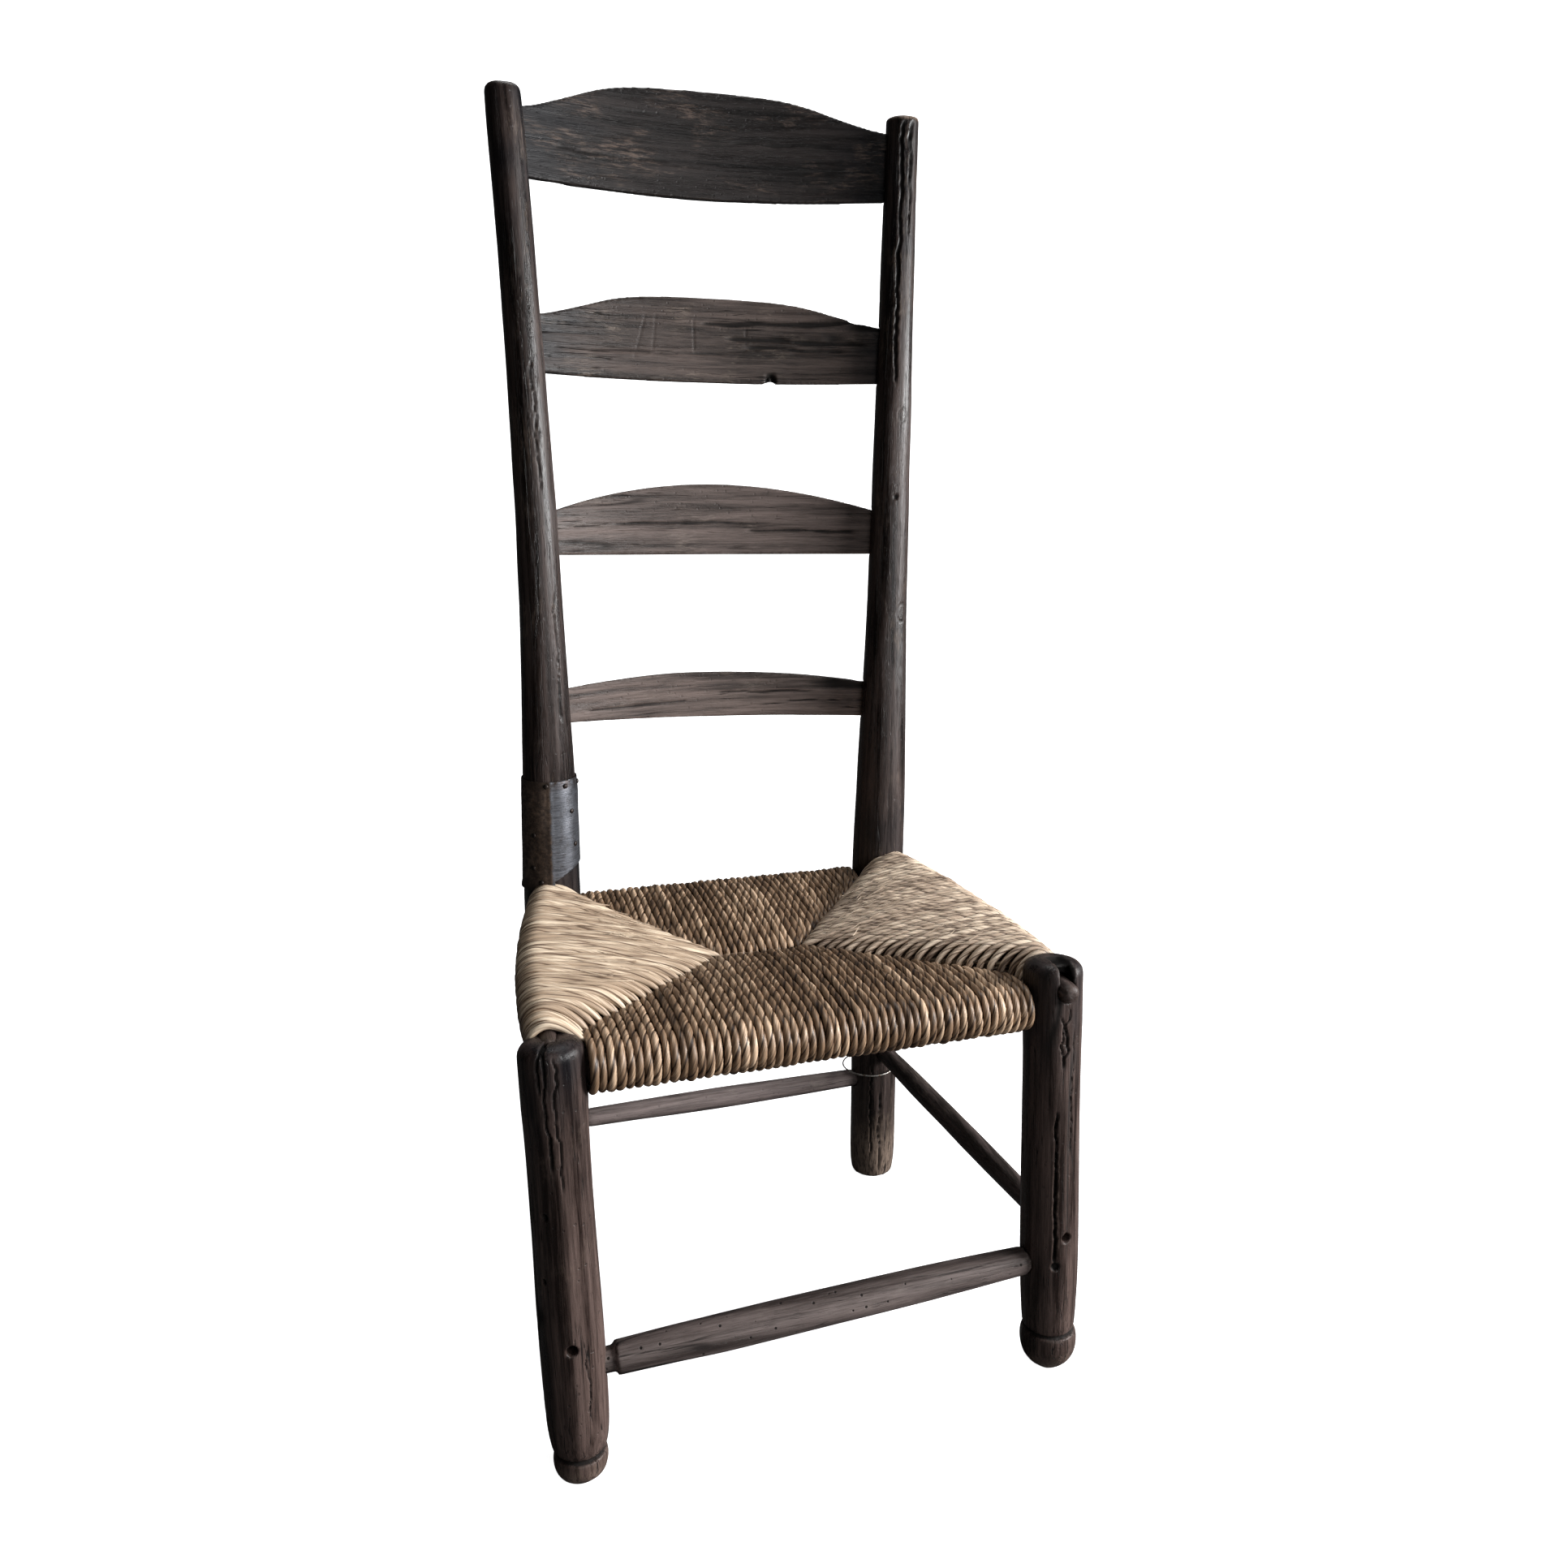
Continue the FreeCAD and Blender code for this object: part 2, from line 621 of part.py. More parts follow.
def side_stuffing(side):
    """The loose straw between the top and bottom turns of a side weave."""
    tip = left_tip if side < 0 else right_tip
    cord_radius, wrap_radius = cord_size(side)[1:]
    rise = wrap_radius - cord_radius - 2 * stuffing_gap
    slack = cord_radius + stuffing_gap
    front, rear = inner_corner(side, "front"), inner_corner(side, "rear")
    front_x, front_z = side_rail_at(side, front.y)
    rear_x, rear_z = side_rail_at(side, rear.y)
    clear = wrap_radius - cord_radius - rail_wrap_gap + stuffing_rail_gap
    bottom = seat_middle_bottom_height + slack
    steepest = (rear_z - rise - bottom) / (rear_x - tip[0])
    profile = [
        V(tip[0], 0, seat_middle_top_height - slack),
        V(front_x, 0, front_z + rise),
        V(front_x, 0, bottom + steepest * (front_x - tip[0])),
        V(tip[0], 0, bottom),
    ]
    plan = [
        tip, (front.x, front.y), (front_x - side * clear, front.y),
        (rear_x - side * clear, rear.y), (rear.x, rear.y),
    ]
    return pad(profile, plan, V(0, rear_top_depth, 0))


# Sheet-iron sleeve and its tacks
def sleeve_tube(offset, low, high):
    """A solid that follows the left rear post at an offset from its face."""
    rings = []
    steps = 4
    for k in range(steps + 1):
        height = low + (high - low) * k / steps
        circle = Part.Circle(rear_post_centre(-1, height), V(0, 0, 1), post_radius(-1, height) + offset)
        rings.append(Part.Wire(circle.toShape()))
    return Part.makeLoft(rings, True, False)


def sleeve():
    """Sheet iron bent round the post, open at the back, its lower edge cut on a slant on one side."""
    height = sleeve_top - sleeve_bottom
    outer = sleeve_tube(sleeve_gap + sleeve_thickness, sleeve_bottom, sleeve_top)
    inner = sleeve_tube(sleeve_gap, sleeve_bottom - sleeve_thickness, sleeve_top + sleeve_thickness)
    centre = rear_post_centre(-1, sleeve_bottom)
    reach = 3 * post_radius(-1, sleeve_bottom)
    opening = [V(centre.x, centre.y, sleeve_bottom - height)]
    for turn in ends:
        direction = math.radians(sleeve_seam_direction + turn * sleeve_open_angle / 2)
        opening.append(opening[0] + V(reach * math.cos(direction), reach * math.sin(direction), 0))
    seam = Part.Face(Part.makePolygon(opening + [opening[0]])).extrude(V(0, 0, 3 * height))
    slant = Part.makeBox(2 * reach, 2 * reach, reach, V(-reach, -reach, -reach))
    slant.rotate(V(0, 0, 0), V(0, 1, 0), -sleeve_cut_slope)
    slant.translate(V(centre.x, centre.y, sleeve_bottom + sleeve_cut_start))
    right_of_centre = Part.makeBox(reach, 2 * reach, 2 * reach, V(centre.x, centre.y - reach, centre.z - reach))
    return outer.cut(inner).cut(seam).cut(slant.common(right_of_centre))


def tack(direction, share, grow=0.0):
    """A short iron tack with a low domed head. grow gives the hole that it goes through."""
    height = sleeve_bottom + (sleeve_top - sleeve_bottom) * share
    centre = rear_post_centre(-1, height)
    out = V(math.cos(math.radians(direction)), math.sin(math.radians(direction)), 0)
    face = post_radius(-1, height) + sleeve_gap + sleeve_thickness
    point = centre + out * (face - tack_shank_length)
    if grow:
        return Part.makeCylinder(tack_shank_diameter / 2 + grow, 2 * tack_shank_length, point - out * grow, out)
    seat = face + tack_head_gap
    ball = (tack_head_diameter ** 2 / 4 + tack_head_height ** 2) / (2 * tack_head_height)
    head = Part.makeSphere(ball, centre + out * (seat + tack_head_height - ball))
    head = head.common(Part.makeCylinder(tack_head_diameter, 2 * tack_head_height, centre + out * seat, out))
    shank = Part.makeCylinder(tack_shank_diameter / 2, tack_shank_length + tack_head_height / 2, point, out)
    return one_solid(head.fuse(shank))


# Wire tie
def wire_tie():
    """A closed loop of iron wire, slack on the -X side, round the right rear post."""
    centre = rear_post_centre(1, wire_tie_height)
    snug = post_radius(1, wire_tie_height) + wire_gap + wire_diameter / 2
    shape = Part.makeTorus(snug + wire_slack, wire_diameter / 2)
    shape.rotate(V(0, 0, 0), V(0, 1, 0), -wire_tie_tilt)
    shape.translate(V(centre.x - wire_slack + wire_gap, centre.y, wire_tie_height))
    return shape


def add_cross_bar(pieces, holders, lines, name, heights, tenon_diameter, past_axis, diameters, gaps):
    """Makes a straight bar between the two legs or posts and drills its two sockets."""
    centre_of, radius_of = lines
    left, right = centre_of(-1, heights[0]), centre_of(1, heights[1])
    shoulders = (
        shoulder_distance(centre_of, radius_of, -1, left.z, right, diameters[0], gaps[0]),
        shoulder_distance(centre_of, radius_of, 1, right.z, left, diameters[-1], gaps[1]),
    )
    pieces[name] = bar(left, right, tenon_diameter, past_axis, shoulders, diameters)
    holders[-1] = holders[-1].cut(socket(left, right, past_axis, tenon_diameter))
    holders[1] = holders[1].cut(socket(right, left, past_axis, tenon_diameter))


def build():
    """Makes every piece in its place and returns them by name."""
    pieces = {}
    legs = {
        -1: front_leg(-1, left_leg_height, left_foot_outline, left_foot_groove, left_shank_outline),
        1: front_leg(1, right_leg_height, right_foot_outline, right_foot_groove, right_shank_outline),
    }
    posts = {-1: rear_post(-1, left_post_top_round), 1: rear_post(1, right_post_top_round)}

    for name in slat_sizes:
        pieces[name] = slat(name)
        mortise = slat(name, mortise_clearance)
        for side in ends:
            posts[side] = posts[side].cut(mortise)

    # Seat rails
    leg_lines = (front_leg_centre, leg_radius)
    post_lines = (rear_post_centre, post_radius)
    tight = (shoulder_gap, shoulder_gap)
    add_cross_bar(
        pieces, legs, leg_lines, "seat_rail_front", (front_rail_height, front_rail_height),
        rail_tenon_diameter, rail_tenon_past_axis, [front_rail_diameter] * 3, tight,
    )
    add_cross_bar(
        pieces, posts, post_lines, "seat_rail_rear", (rear_rail_height, rear_rail_height),
        rail_tenon_diameter, rail_tenon_past_axis, [rear_rail_diameter] * 3, tight,
    )
    for side, name in ((-1, "seat_rail_left"), (1, "seat_rail_right")):
        pieces[name] = side_rail(side)
        front_hole, rear_hole = side_rail_sockets(side)
        legs[side] = legs[side].cut(front_hole)
        posts[side] = posts[side].cut(rear_hole)

    # Stretchers
    diameters = (front_stretcher_left_end_diameter, front_stretcher_diameter, front_stretcher_right_end_diameter)
    add_cross_bar(
        pieces, legs, leg_lines, "stretcher_front", (front_stretcher_left_height, front_stretcher_right_height),
        front_stretcher_tenon_diameter, stretcher_tenon_past_axis, diameters,
        (front_stretcher_left_gap, shoulder_gap),
    )
    diameters = (rear_stretcher_end_diameter, rear_stretcher_diameter, rear_stretcher_end_diameter)
    add_cross_bar(
        pieces, posts, post_lines, "stretcher_rear", (rear_stretcher_height, rear_stretcher_height),
        stretcher_tenon_diameter, stretcher_tenon_past_axis, diameters, tight,
    )
    for side, name in ((-1, "stretcher_left"), (1, "stretcher_right")):
        pieces[name] = side_stretcher(side)
        front_hole, rear_hole = side_stretcher_sockets(side)
        legs[side] = legs[side].cut(front_hole)
        posts[side] = posts[side].cut(rear_hole)
    legs[1] = one_solid(legs[1].cut(split_cut()))

    # Sheet-iron repair
    patch = sleeve()
    tacks = []
    for direction, share in tack_places:
        hole = tack(direction, share, tack_clearance)
        patch = patch.cut(hole)
        posts[-1] = posts[-1].cut(hole)
        tacks.append(tack(direction, share))
    pieces["repair_sleeve"] = patch
    pieces["repair_tacks"] = Part.makeCompound(tacks)
    pieces["wire_tie"] = wire_tie()

    pieces["front_leg_left"], pieces["front_leg_right"] = legs[-1], legs[1]
    pieces["rear_post_left"], pieces["rear_post_right"] = posts[-1], posts[1]

    # Cord seat and its stuffing
    pieces["seat_cords_front"] = cross_weave("front")
    pieces["seat_cords_rear"] = cross_weave("rear")
    pieces["seat_cords_left"] = side_weave(-1)
    pieces["seat_cords_right"] = side_weave(1)
    pads = [cross_stuffing("front"), cross_stuffing("rear"), side_stuffing(-1), side_stuffing(1)]
    pieces["seat_stuffing"] = Part.makeCompound(pads)
    return pieces


def centred(pieces):
    """Moves every piece so that the origin is on the floor under the middle of the whole chair."""
    box = Part.makeCompound(list(pieces.values())).optimalBoundingBox(False)
    shift = V(-(box.XMin + box.XMax) / 2, -(box.YMin + box.YMax) / 2, 0)
    print("moved by", round(shift.x, 3), round(shift.y, 3))
    for shape in pieces.values():
        shape.translate(shift)
    return pieces


os.makedirs("parts", exist_ok=True)
for piece_name, piece in centred(build()).items():
    piece.exportStep(os.path.join("parts", piece_name + ".step"))
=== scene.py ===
import math

import bmesh
import bpy
import numpy as np
from mathutils import Matrix, Vector


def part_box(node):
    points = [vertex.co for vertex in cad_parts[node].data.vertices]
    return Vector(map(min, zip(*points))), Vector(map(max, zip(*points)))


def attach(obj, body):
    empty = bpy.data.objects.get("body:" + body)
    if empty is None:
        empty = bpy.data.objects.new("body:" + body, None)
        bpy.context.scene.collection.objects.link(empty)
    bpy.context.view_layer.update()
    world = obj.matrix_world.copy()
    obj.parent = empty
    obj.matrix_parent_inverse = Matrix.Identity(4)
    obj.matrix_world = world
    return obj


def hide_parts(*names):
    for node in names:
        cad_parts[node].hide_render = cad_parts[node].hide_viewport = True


# An old, low ladderback chair: dark turned and shaved wood with a woven rush seat.
# Sizes are in metres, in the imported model's own frame: +Z up, +Y to the back, +X to the sitter's left.
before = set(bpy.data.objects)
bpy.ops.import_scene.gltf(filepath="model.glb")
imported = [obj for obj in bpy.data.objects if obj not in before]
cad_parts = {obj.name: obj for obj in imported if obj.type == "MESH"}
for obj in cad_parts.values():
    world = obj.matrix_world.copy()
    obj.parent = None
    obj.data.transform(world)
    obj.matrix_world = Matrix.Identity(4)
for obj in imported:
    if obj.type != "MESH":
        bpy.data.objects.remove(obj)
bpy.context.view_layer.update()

# Camera: where the photographer stood, 0.73 m above the floor and left of the chair's middle, with
# the wide lens of a hand-held camera. The shift is the small offset of the picture's centre.
camera_place = Vector((-0.2789, -0.9672, 0.7306))
camera_turn, camera_tip, camera_roll = 0.31323, 0.24907, 0.00771
forward = Vector((
    math.sin(camera_turn) * math.cos(camera_tip),
    math.cos(camera_turn) * math.cos(camera_tip),
    -math.sin(camera_tip),
))
level_right = Vector((math.cos(camera_turn), -math.sin(camera_turn), 0))
level_up = level_right.cross(forward)
right = level_right * math.cos(camera_roll) + level_up * math.sin(camera_roll)
up = level_up * math.cos(camera_roll) - level_right * math.sin(camera_roll)


def new_object(name, data):
    made = bpy.data.objects.new(name, data)
    bpy.context.scene.collection.objects.link(made)
    return made


camera_data = bpy.data.cameras.new("camera")
camera_data.lens = 28.09
camera_data.sensor_width = 36
camera_data.shift_x = -0.00847
camera_data.shift_y = -0.00635
camera = new_object("camera", camera_data)
camera.matrix_world = Matrix((
    (right.x, up.x, -forward.x, camera_place.x),
    (right.y, up.y, -forward.y, camera_place.y),
    (right.z, up.z, -forward.z, camera_place.z),
    (0, 0, 0, 1),
))
bpy.context.scene.camera = camera

# Studio: a white floor that curves up into a backdrop, one large soft light on the right as from
# a window, and weak light from the front and from all round.
bpy.context.scene.view_settings.view_transform = "Standard"
floor_half_width = 6.0
floor_front = -6.0
backdrop_depth = 2.6
backdrop_bend = 1.2
backdrop_height = 6.0
backdrop_steps = 12
profile = [(floor_front, 0.0), (0.0, 0.0), (backdrop_depth - backdrop_bend, 0.0)]
for k in range(1, backdrop_steps + 1):
    angle = math.pi / 2 * k / backdrop_steps
    profile.append((
        backdrop_depth - backdrop_bend + backdrop_bend * math.sin(angle),
        backdrop_bend - backdrop_bend * math.cos(angle),
    ))
profile.append((backdrop_depth, backdrop_height))
points = [(x, y, z) for y, z in profile for x in (-floor_half_width, floor_half_width)]
faces = [(2 * k, 2 * k + 1, 2 * k + 3, 2 * k + 2) for k in range(len(profile) - 1)]
floor_mesh = bpy.data.meshes.new("floor")
floor_mesh.from_pydata(points, [], faces)
floor_mesh.shade_smooth()
floor = new_object("floor", floor_mesh)
# The room that lit the chair was dark but for its window, so the white paper is bright to the eye
# and throws little light back on the wood.
paper = bpy.data.materials.new("white_paper")
paper.use_nodes = True
paper_nodes = paper.node_tree.nodes
paper_shader = paper_nodes["Principled BSDF"]
paper_shader.inputs["Base Color"].default_value = (0.86, 0.86, 0.86, 1)
paper_shader.inputs["Roughness"].default_value = 0.9
paper_shader.inputs["Specular IOR Level"].default_value = 0.1
paper_shader.inputs["Emission Color"].default_value = (1, 1, 1, 1)
paper_shader.inputs["Emission Strength"].default_value = 0.97
dim_paper = paper_nodes.new("ShaderNodeBsdfDiffuse")
dim_paper.inputs["Color"].default_value = (0.1, 0.1, 0.1, 1)


def pick_by_ray(tree, to_light, to_eye, output):
    """Shows the camera one shader and lights the chair with the other."""
    seen = tree.nodes.new("ShaderNodeLightPath")
    pick = tree.nodes.new("ShaderNodeMixShader")
    tree.links.new(seen.outputs["Is Camera Ray"], pick.inputs[0])
    tree.links.new(to_light.outputs[0], pick.inputs[1])
    tree.links.new(to_eye.outputs[0], pick.inputs[2])
    tree.links.new(pick.outputs[0], tree.nodes[output].inputs["Surface"])


pick_by_ray(paper.node_tree, dim_paper, paper_shader, "Material Output")
floor_mesh.materials.append(paper)


def soft_light(name, place, target, size, watts):
    data = bpy.data.lights.new(name, "AREA")
    data.shape = "DISK"
    data.size = size
    data.energy = watts
    lamp = new_object(name, data)
    lamp.location = place
    lamp.rotation_mode = "QUATERNION"
    lamp.rotation_quaternion = (Vector(target) - Vector(place)).to_track_quat("-Z", "Y")


soft_light("window_light", (2.6, -1.25, 1.15), (0.0, 0.0, 0.4), 1.3, 165)
soft_light("front_light", (0.9, -3.0, 1.0), (0.0, 0.0, 0.4), 1.6, 22)
soft_light("top_light", (0.5, 0.6, 3.0), (0.0, 0.0, 0.0), 1.6, 32)
world = bpy.data.worlds.new("studio")
world.use_nodes = True
world_nodes = world.node_tree.nodes
bright_air = world_nodes["Background"]
bright_air.inputs["Color"].default_value = (1, 1, 1, 1)
dim_air = world_nodes.new("ShaderNodeBackground")
dim_air.inputs["Color"].default_value = (0.9, 0.95, 1, 1)
dim_air.inputs["Strength"].default_value = 0.02
pick_by_ray(world.node_tree, dim_air, bright_air, "World Output")
bpy.context.scene.world = world


# Wood. The legs are turned and the rest is shaved green with a drawknife, so nothing is quite round
# or straight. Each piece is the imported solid, meshed evenly, with its worn surface cut into it:
# long low waves, raised grain, drying checks that run with the grain, and softened edges.
lattice_side = 32


def lattice_noise(points, seed):
    """Smooth noise between -1 and 1 on a lattice of one unit, the same on every run."""
    lattice = np.random.default_rng(seed).uniform(-1, 1, (lattice_side,) * 3)
    cell = np.floor(points).astype(int)
    part = points - cell
    part = part * part * (3 - 2 * part)
    total = np.zeros(len(points))
    for dx in (0, 1):
        for dy in (0, 1):
            for dz in (0, 1):
                near = np.abs(1 - np.array((dx, dy, dz)) - part)
                i, j, k = ((cell + (dx, dy, dz)) % lattice_side).T
                total += near[:, 0] * near[:, 1] * near[:, 2] * lattice[i, j, k]
    return total


merge_distance = 1e-6
split_rounds = 6


def fade(value, low, high):
    """0 below low, 1 above high, and smooth between them. low may be the larger."""
    t = np.clip((value - low) / (high - low), 0, 1)
    return t * t * (3 - 2 * t)


def joined_mesh(node, longest=None):
    """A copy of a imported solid's mesh with its doubled points merged. longest splits longer edges."""
    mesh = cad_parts[node].data.copy()
    mesh.materials.clear()
    work = bmesh.new()
    work.from_mesh(mesh)
    bmesh.ops.remove_doubles(work, verts=work.verts, dist=merge_distance)
    for _ in range(split_rounds if longest else 0):
        long_edges = [edge for edge in work.edges if edge.calc_length() > longest]
        bmesh.ops.subdivide_edges(work, edges=long_edges, cuts=1)
        bmesh.ops.triangulate(work, faces=work.faces)
    work.to_mesh(mesh)
    work.free()
    return mesh


def made_plain(piece):
    """Replaces a piece's mesh and modifiers with the mesh that they make."""
    graph = bpy.context.evaluated_depsgraph_get()
    made = bpy.data.meshes.new_from_object(piece.evaluated_get(graph))
    piece.modifiers.clear()
    piece.data = made
    made.name = piece.name
    return piece


def even_mesh(name, node, voxel):
    """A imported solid's mesh, remeshed in even faces."""
    piece = new_object(name, joined_mesh(node))
    remesh = piece.modifiers.new("even", "REMESH")
    remesh.mode = "VOXEL"
    remesh.voxel_size = voxel
    return made_plain(piece)


def read_points(mesh):
    flat = np.empty(len(mesh.vertices) * 3)
    mesh.vertices.foreach_get("co", flat)
    return flat.reshape(-1, 3)


def write_points(mesh, points):
    mesh.vertices.foreach_set("co", points.ravel())
    mesh.update()


def read_normals(mesh):
    flat = np.empty(len(mesh.vertices) * 3)
    mesh.vertex_normals.foreach_get("vector", flat)
    return flat.reshape(-1, 3)


def neighbour_mean(mesh, values):
    """The mean of each vertex's neighbours."""
    pairs = np.empty(len(mesh.edges) * 2, dtype=int)
    mesh.edges.foreach_get("vertices", pairs)
    a, b = pairs.reshape(-1, 2).T
    total = np.zeros_like(values)
    np.add.at(total, a, values[b])
    np.add.at(total, b, values[a])
    count = np.bincount(np.concatenate((a, b)), minlength=len(values)).astype(float)
    return total / (count[:, None] if values.ndim > 1 else count)


def keep_attribute(mesh, name, values):
    vector = values.ndim > 1
    layer = mesh.attributes.new(name, "FLOAT_VECTOR" if vector else "FLOAT", "POINT")
    layer.data.foreach_set("vector" if vector else "value", np.ascontiguousarray(values).ravel())


def weather(piece, grain_of, seed, waves, ridges, checks, marks=(), stain_of=None):
    """Cuts the worn surface into a piece.

    grain_of turns points into (across, across, along the grain). marks are functions of the grain
    points that return a depth and are for the cracks and dents of this one piece. stain_of is
    above 0 where the old dark finish is thick and below 0 where bare wood is worn pale.
    """
    mesh = piece.data
    points = read_points(mesh)
    for _ in range(2):
        points = points * 0.5 + neighbour_mean(mesh, points) * 0.5
    write_points(mesh, points)
    grain = grain_of(points)
    normals = read_normals(mesh)
    rise = waves * lattice_noise(grain * (24, 24, 7) + 5, seed)
    rise += waves * 0.5 * lattice_noise(grain * (70, 70, 22) + 9, seed + 1)
    rise += ridges * lattice_noise(grain * (330, 330, 12), seed + 2)
    line = np.abs(lattice_noise(grain * (95, 95, 5) + 3, seed + 3))
    where = fade(lattice_noise(grain * (30, 30, 6) + 7, seed + 4), 0.0, 0.5)
    crack = fade(line, 0.09, 0.0) * where
    depth = checks * crack
    for mark in marks:
        more = mark(grain)
        depth = np.maximum(depth, more)
        crack = np.maximum(crack, fade(more, 0.0, 0.0012))
    write_points(mesh, points + normals * (rise - depth)[:, None])
    worn = read_points(mesh)
    bulge = -np.einsum("ij,ij->i", neighbour_mean(mesh, worn) - worn, read_normals(mesh))
    for _ in range(2):
        bulge = neighbour_mean(mesh, bulge)
    keep_attribute(mesh, "grain", grain)
    # The crack attribute also sets the painted shade inside the cracks in the aged_wood material.
    keep_attribute(mesh, "crack", crack)
    keep_attribute(mesh, "edge", fade(bulge, 0.00004, 0.00022))
    stain = stain_of(grain) if stain_of else np.zeros(len(grain))
    mottle = 0.35 * lattice_noise(grain * (120, 120, 40) + 2, seed + 6)
    stain += np.sign(stain) * mottle * np.minimum(np.abs(stain) * 3, 1)
    keep_attribute(mesh, "stain", stain)
    mesh.shade_smooth()


def node_group(name, inputs, outputs, kind="ShaderNodeTree"):
    """An empty node group. Each socket has its default value or the name of its type."""
    group = bpy.data.node_groups.new(name, kind)
    kinds = {tuple: "Color", float: "Float", int: "Int"}
    for direction, sockets in (("INPUT", inputs), ("OUTPUT", outputs)):
        for label, value in sockets.items():
            full_kind = "NodeSocket" + kinds.get(type(value), value)
            socket = group.interface.new_socket(label, in_out=direction, socket_type=full_kind)
            if not isinstance(value, str):
                socket.default_value = value
    return group


class Nodes:
    """Short ways to add and link nodes in one tree."""

    def __init__(self, tree):
        self.tree = tree

    def add(self, kind, settings=None, **inputs):
        node = self.tree.nodes.new(kind)
        for key, value in (settings or {}).items():
            setattr(node, key, value)
        for key, value in inputs.items():
            self.set(node, key.replace("_", " "), value)
        return node

    def set(self, node, key, value):
        socket = node.inputs[int(key)] if key.isdigit() else node.inputs[key]
        if isinstance(value, bpy.types.NodeSocket):
            self.tree.links.new(value, socket)
        else:
            socket.default_value = value

    def math(self, operation, a, b=None, clamp=False):
        node = self.tree.nodes.new("ShaderNodeMath")
        node.operation = operation
        node.use_clamp = clamp
        self.set(node, "0", a)
        if b is not None:
            self.set(node, "1", b)
        return node.outputs[0]

    def plus(self, a, b, clamp=False):
        return self.math("ADD", a, b, clamp)

    def minus(self, a, b, clamp=False):
        return self.math("SUBTRACT", a, b, clamp)

    def times(self, a, b):
        return self.math("MULTIPLY", a, b)

    def swing(self, value, amount, middle=0.5):
        """How far a value lies from its middle, times an amount."""
        return self.times(self.minus(value, middle), amount)

    def between(self, value, low, high, to_low=0.0, to_high=1.0):
        node = self.tree.nodes.new("ShaderNodeMapRange")
        node.interpolation_type = "SMOOTHSTEP"
        for key, item in zip("01234", (value, low, high, to_low, to_high)):
            self.set(node, key, item)
        return node.outputs[0]

    def mix(self, share, a, b, blend="MIX"):
        node = self.tree.nodes.new("ShaderNodeMix")
        node.data_type = "RGBA"
        node.blend_type = blend
        self.set(node, "0", share)
        self.set(node, "6", a)
        self.set(node, "7", b)
        return node.outputs[2]

    def noise(self, vector, scale, detail=3.0, roughness=0.55, distortion=0.0):
        node = self.add(
            "ShaderNodeTexNoise", Vector=vector, Scale=scale, Detail=detail, Roughness=roughness,
            Distortion=distortion,
        )
        return node.outputs["Fac"]

    def stretched(self, vector, scale):
        return self.add("ShaderNodeMapping", {"vector_type": "POINT"}, Vector=vector, Scale=scale).outputs[0]

    def attribute(self, name, output="Fac"):
        return self.add("ShaderNodeAttribute", {"attribute_name": name}).outputs[output]

    def named(self, name, kind="FLOAT"):
        """An attribute as geometry nodes read it."""
        node = self.add("GeometryNodeInputNamedAttribute", {"data_type": kind})
        node.inputs["Name"].default_value = name
        return node.outputs["Attribute"]


def new_finish(name):
    """An empty material, its nodes and its shader."""
    material = bpy.data.materials.new(name)
    material.use_nodes = True
    nodes = Nodes(material.node_tree)
    return material, nodes, material.node_tree.nodes["Principled BSDF"]


def group_finish(name, group_tree, values, bump_strength, bump_depth, specular):
    """A material whose colour, roughness and height come from a node group."""
    material, m, shader = new_finish(name)
    group = m.add("ShaderNodeGroup", {"node_tree": group_tree})
    for key, value in values.items():
        group.inputs[key].default_value = (*value, 1) if isinstance(value, tuple) else value
    made = group.outputs
    bump = m.add("ShaderNodeBump", Strength=bump_strength, Distance=bump_depth, Height=made["Height"])
    m.set(shader, "Base Color", made["Color"])
    m.set(shader, "Roughness", made["Roughness"])
    m.set(shader, "Normal", bump.outputs[0])
    shader.inputs["Specular IOR Level"].default_value = specular
    return material


aged_wood = node_group("aged_wood", {
    "Dark": (0.02, 0.015, 0.014, 1), "Light": (0.1, 0.08, 0.075, 1), "Rubbed": (0.25, 0.19, 0.13, 1),
    "Streaks": 0.6, "Rubbing": 0.3, "Lines": 0.6, "Worm Holes": 0.0, "Gloss": 0.5,
    "Soot": (0.006, 0.006, 0.008, 1), "Shift": 0.0,
}, {"Color": "Color", "Roughness": "Float", "Height": "Float"})
w = Nodes(aged_wood)
given = w.add("NodeGroupInput").outputs
grain = w.add(
    "ShaderNodeVectorMath", {"operation": "ADD"}, **{"0": w.attribute("grain", "Vector")},
)
w.tree.links.new(given["Shift"], grain.inputs[1])
grain = grain.outputs[0]
fibre = w.noise(w.stretched(grain, (1, 1, 0.035)), 1100, 6, 0.65)
streak = w.noise(w.stretched(grain, (1, 1, 0.045)), 150, 5, 0.6, 0.3)
band = w.noise(w.stretched(grain, (1, 1, 0.12)), 45, 3, 0.5, 0.4)
patch = w.noise(w.stretched(grain, (1, 1, 0.5)), 26, 5, 0.6, 0.5)
scuff = w.noise(w.stretched(grain, (1, 1, 0.16)), 420, 8, 0.75)
line_noise = w.noise(w.stretched(grain, (1, 1, 0.022)), 210, 2, 0.5, 0.15)
line = w.between(w.math("ABSOLUTE", w.minus(line_noise, 0.5)), 0.014, 0.003)
line_place = w.between(w.noise(w.stretched(grain, (1, 1, 0.3)), 60, 2), 0.44, 0.6)
line = w.times(w.times(line, line_place), given["Lines"])
pore = w.between(w.noise(w.stretched(grain, (1, 1, 0.05)), 2300, 2), 0.6, 0.7)
level = w.swing(streak, w.times(given["Streaks"], 3.2))
level = w.plus(w.plus(level, w.swing(band, 1.5)), w.swing(fibre, 1.5))
level = w.plus(level, 0.45, clamp=True)
colour = w.mix(level, given["Dark"], given["Light"])
rub = w.times(w.between(patch, 0.5, 0.68), w.between(scuff, 0.46, 0.62))
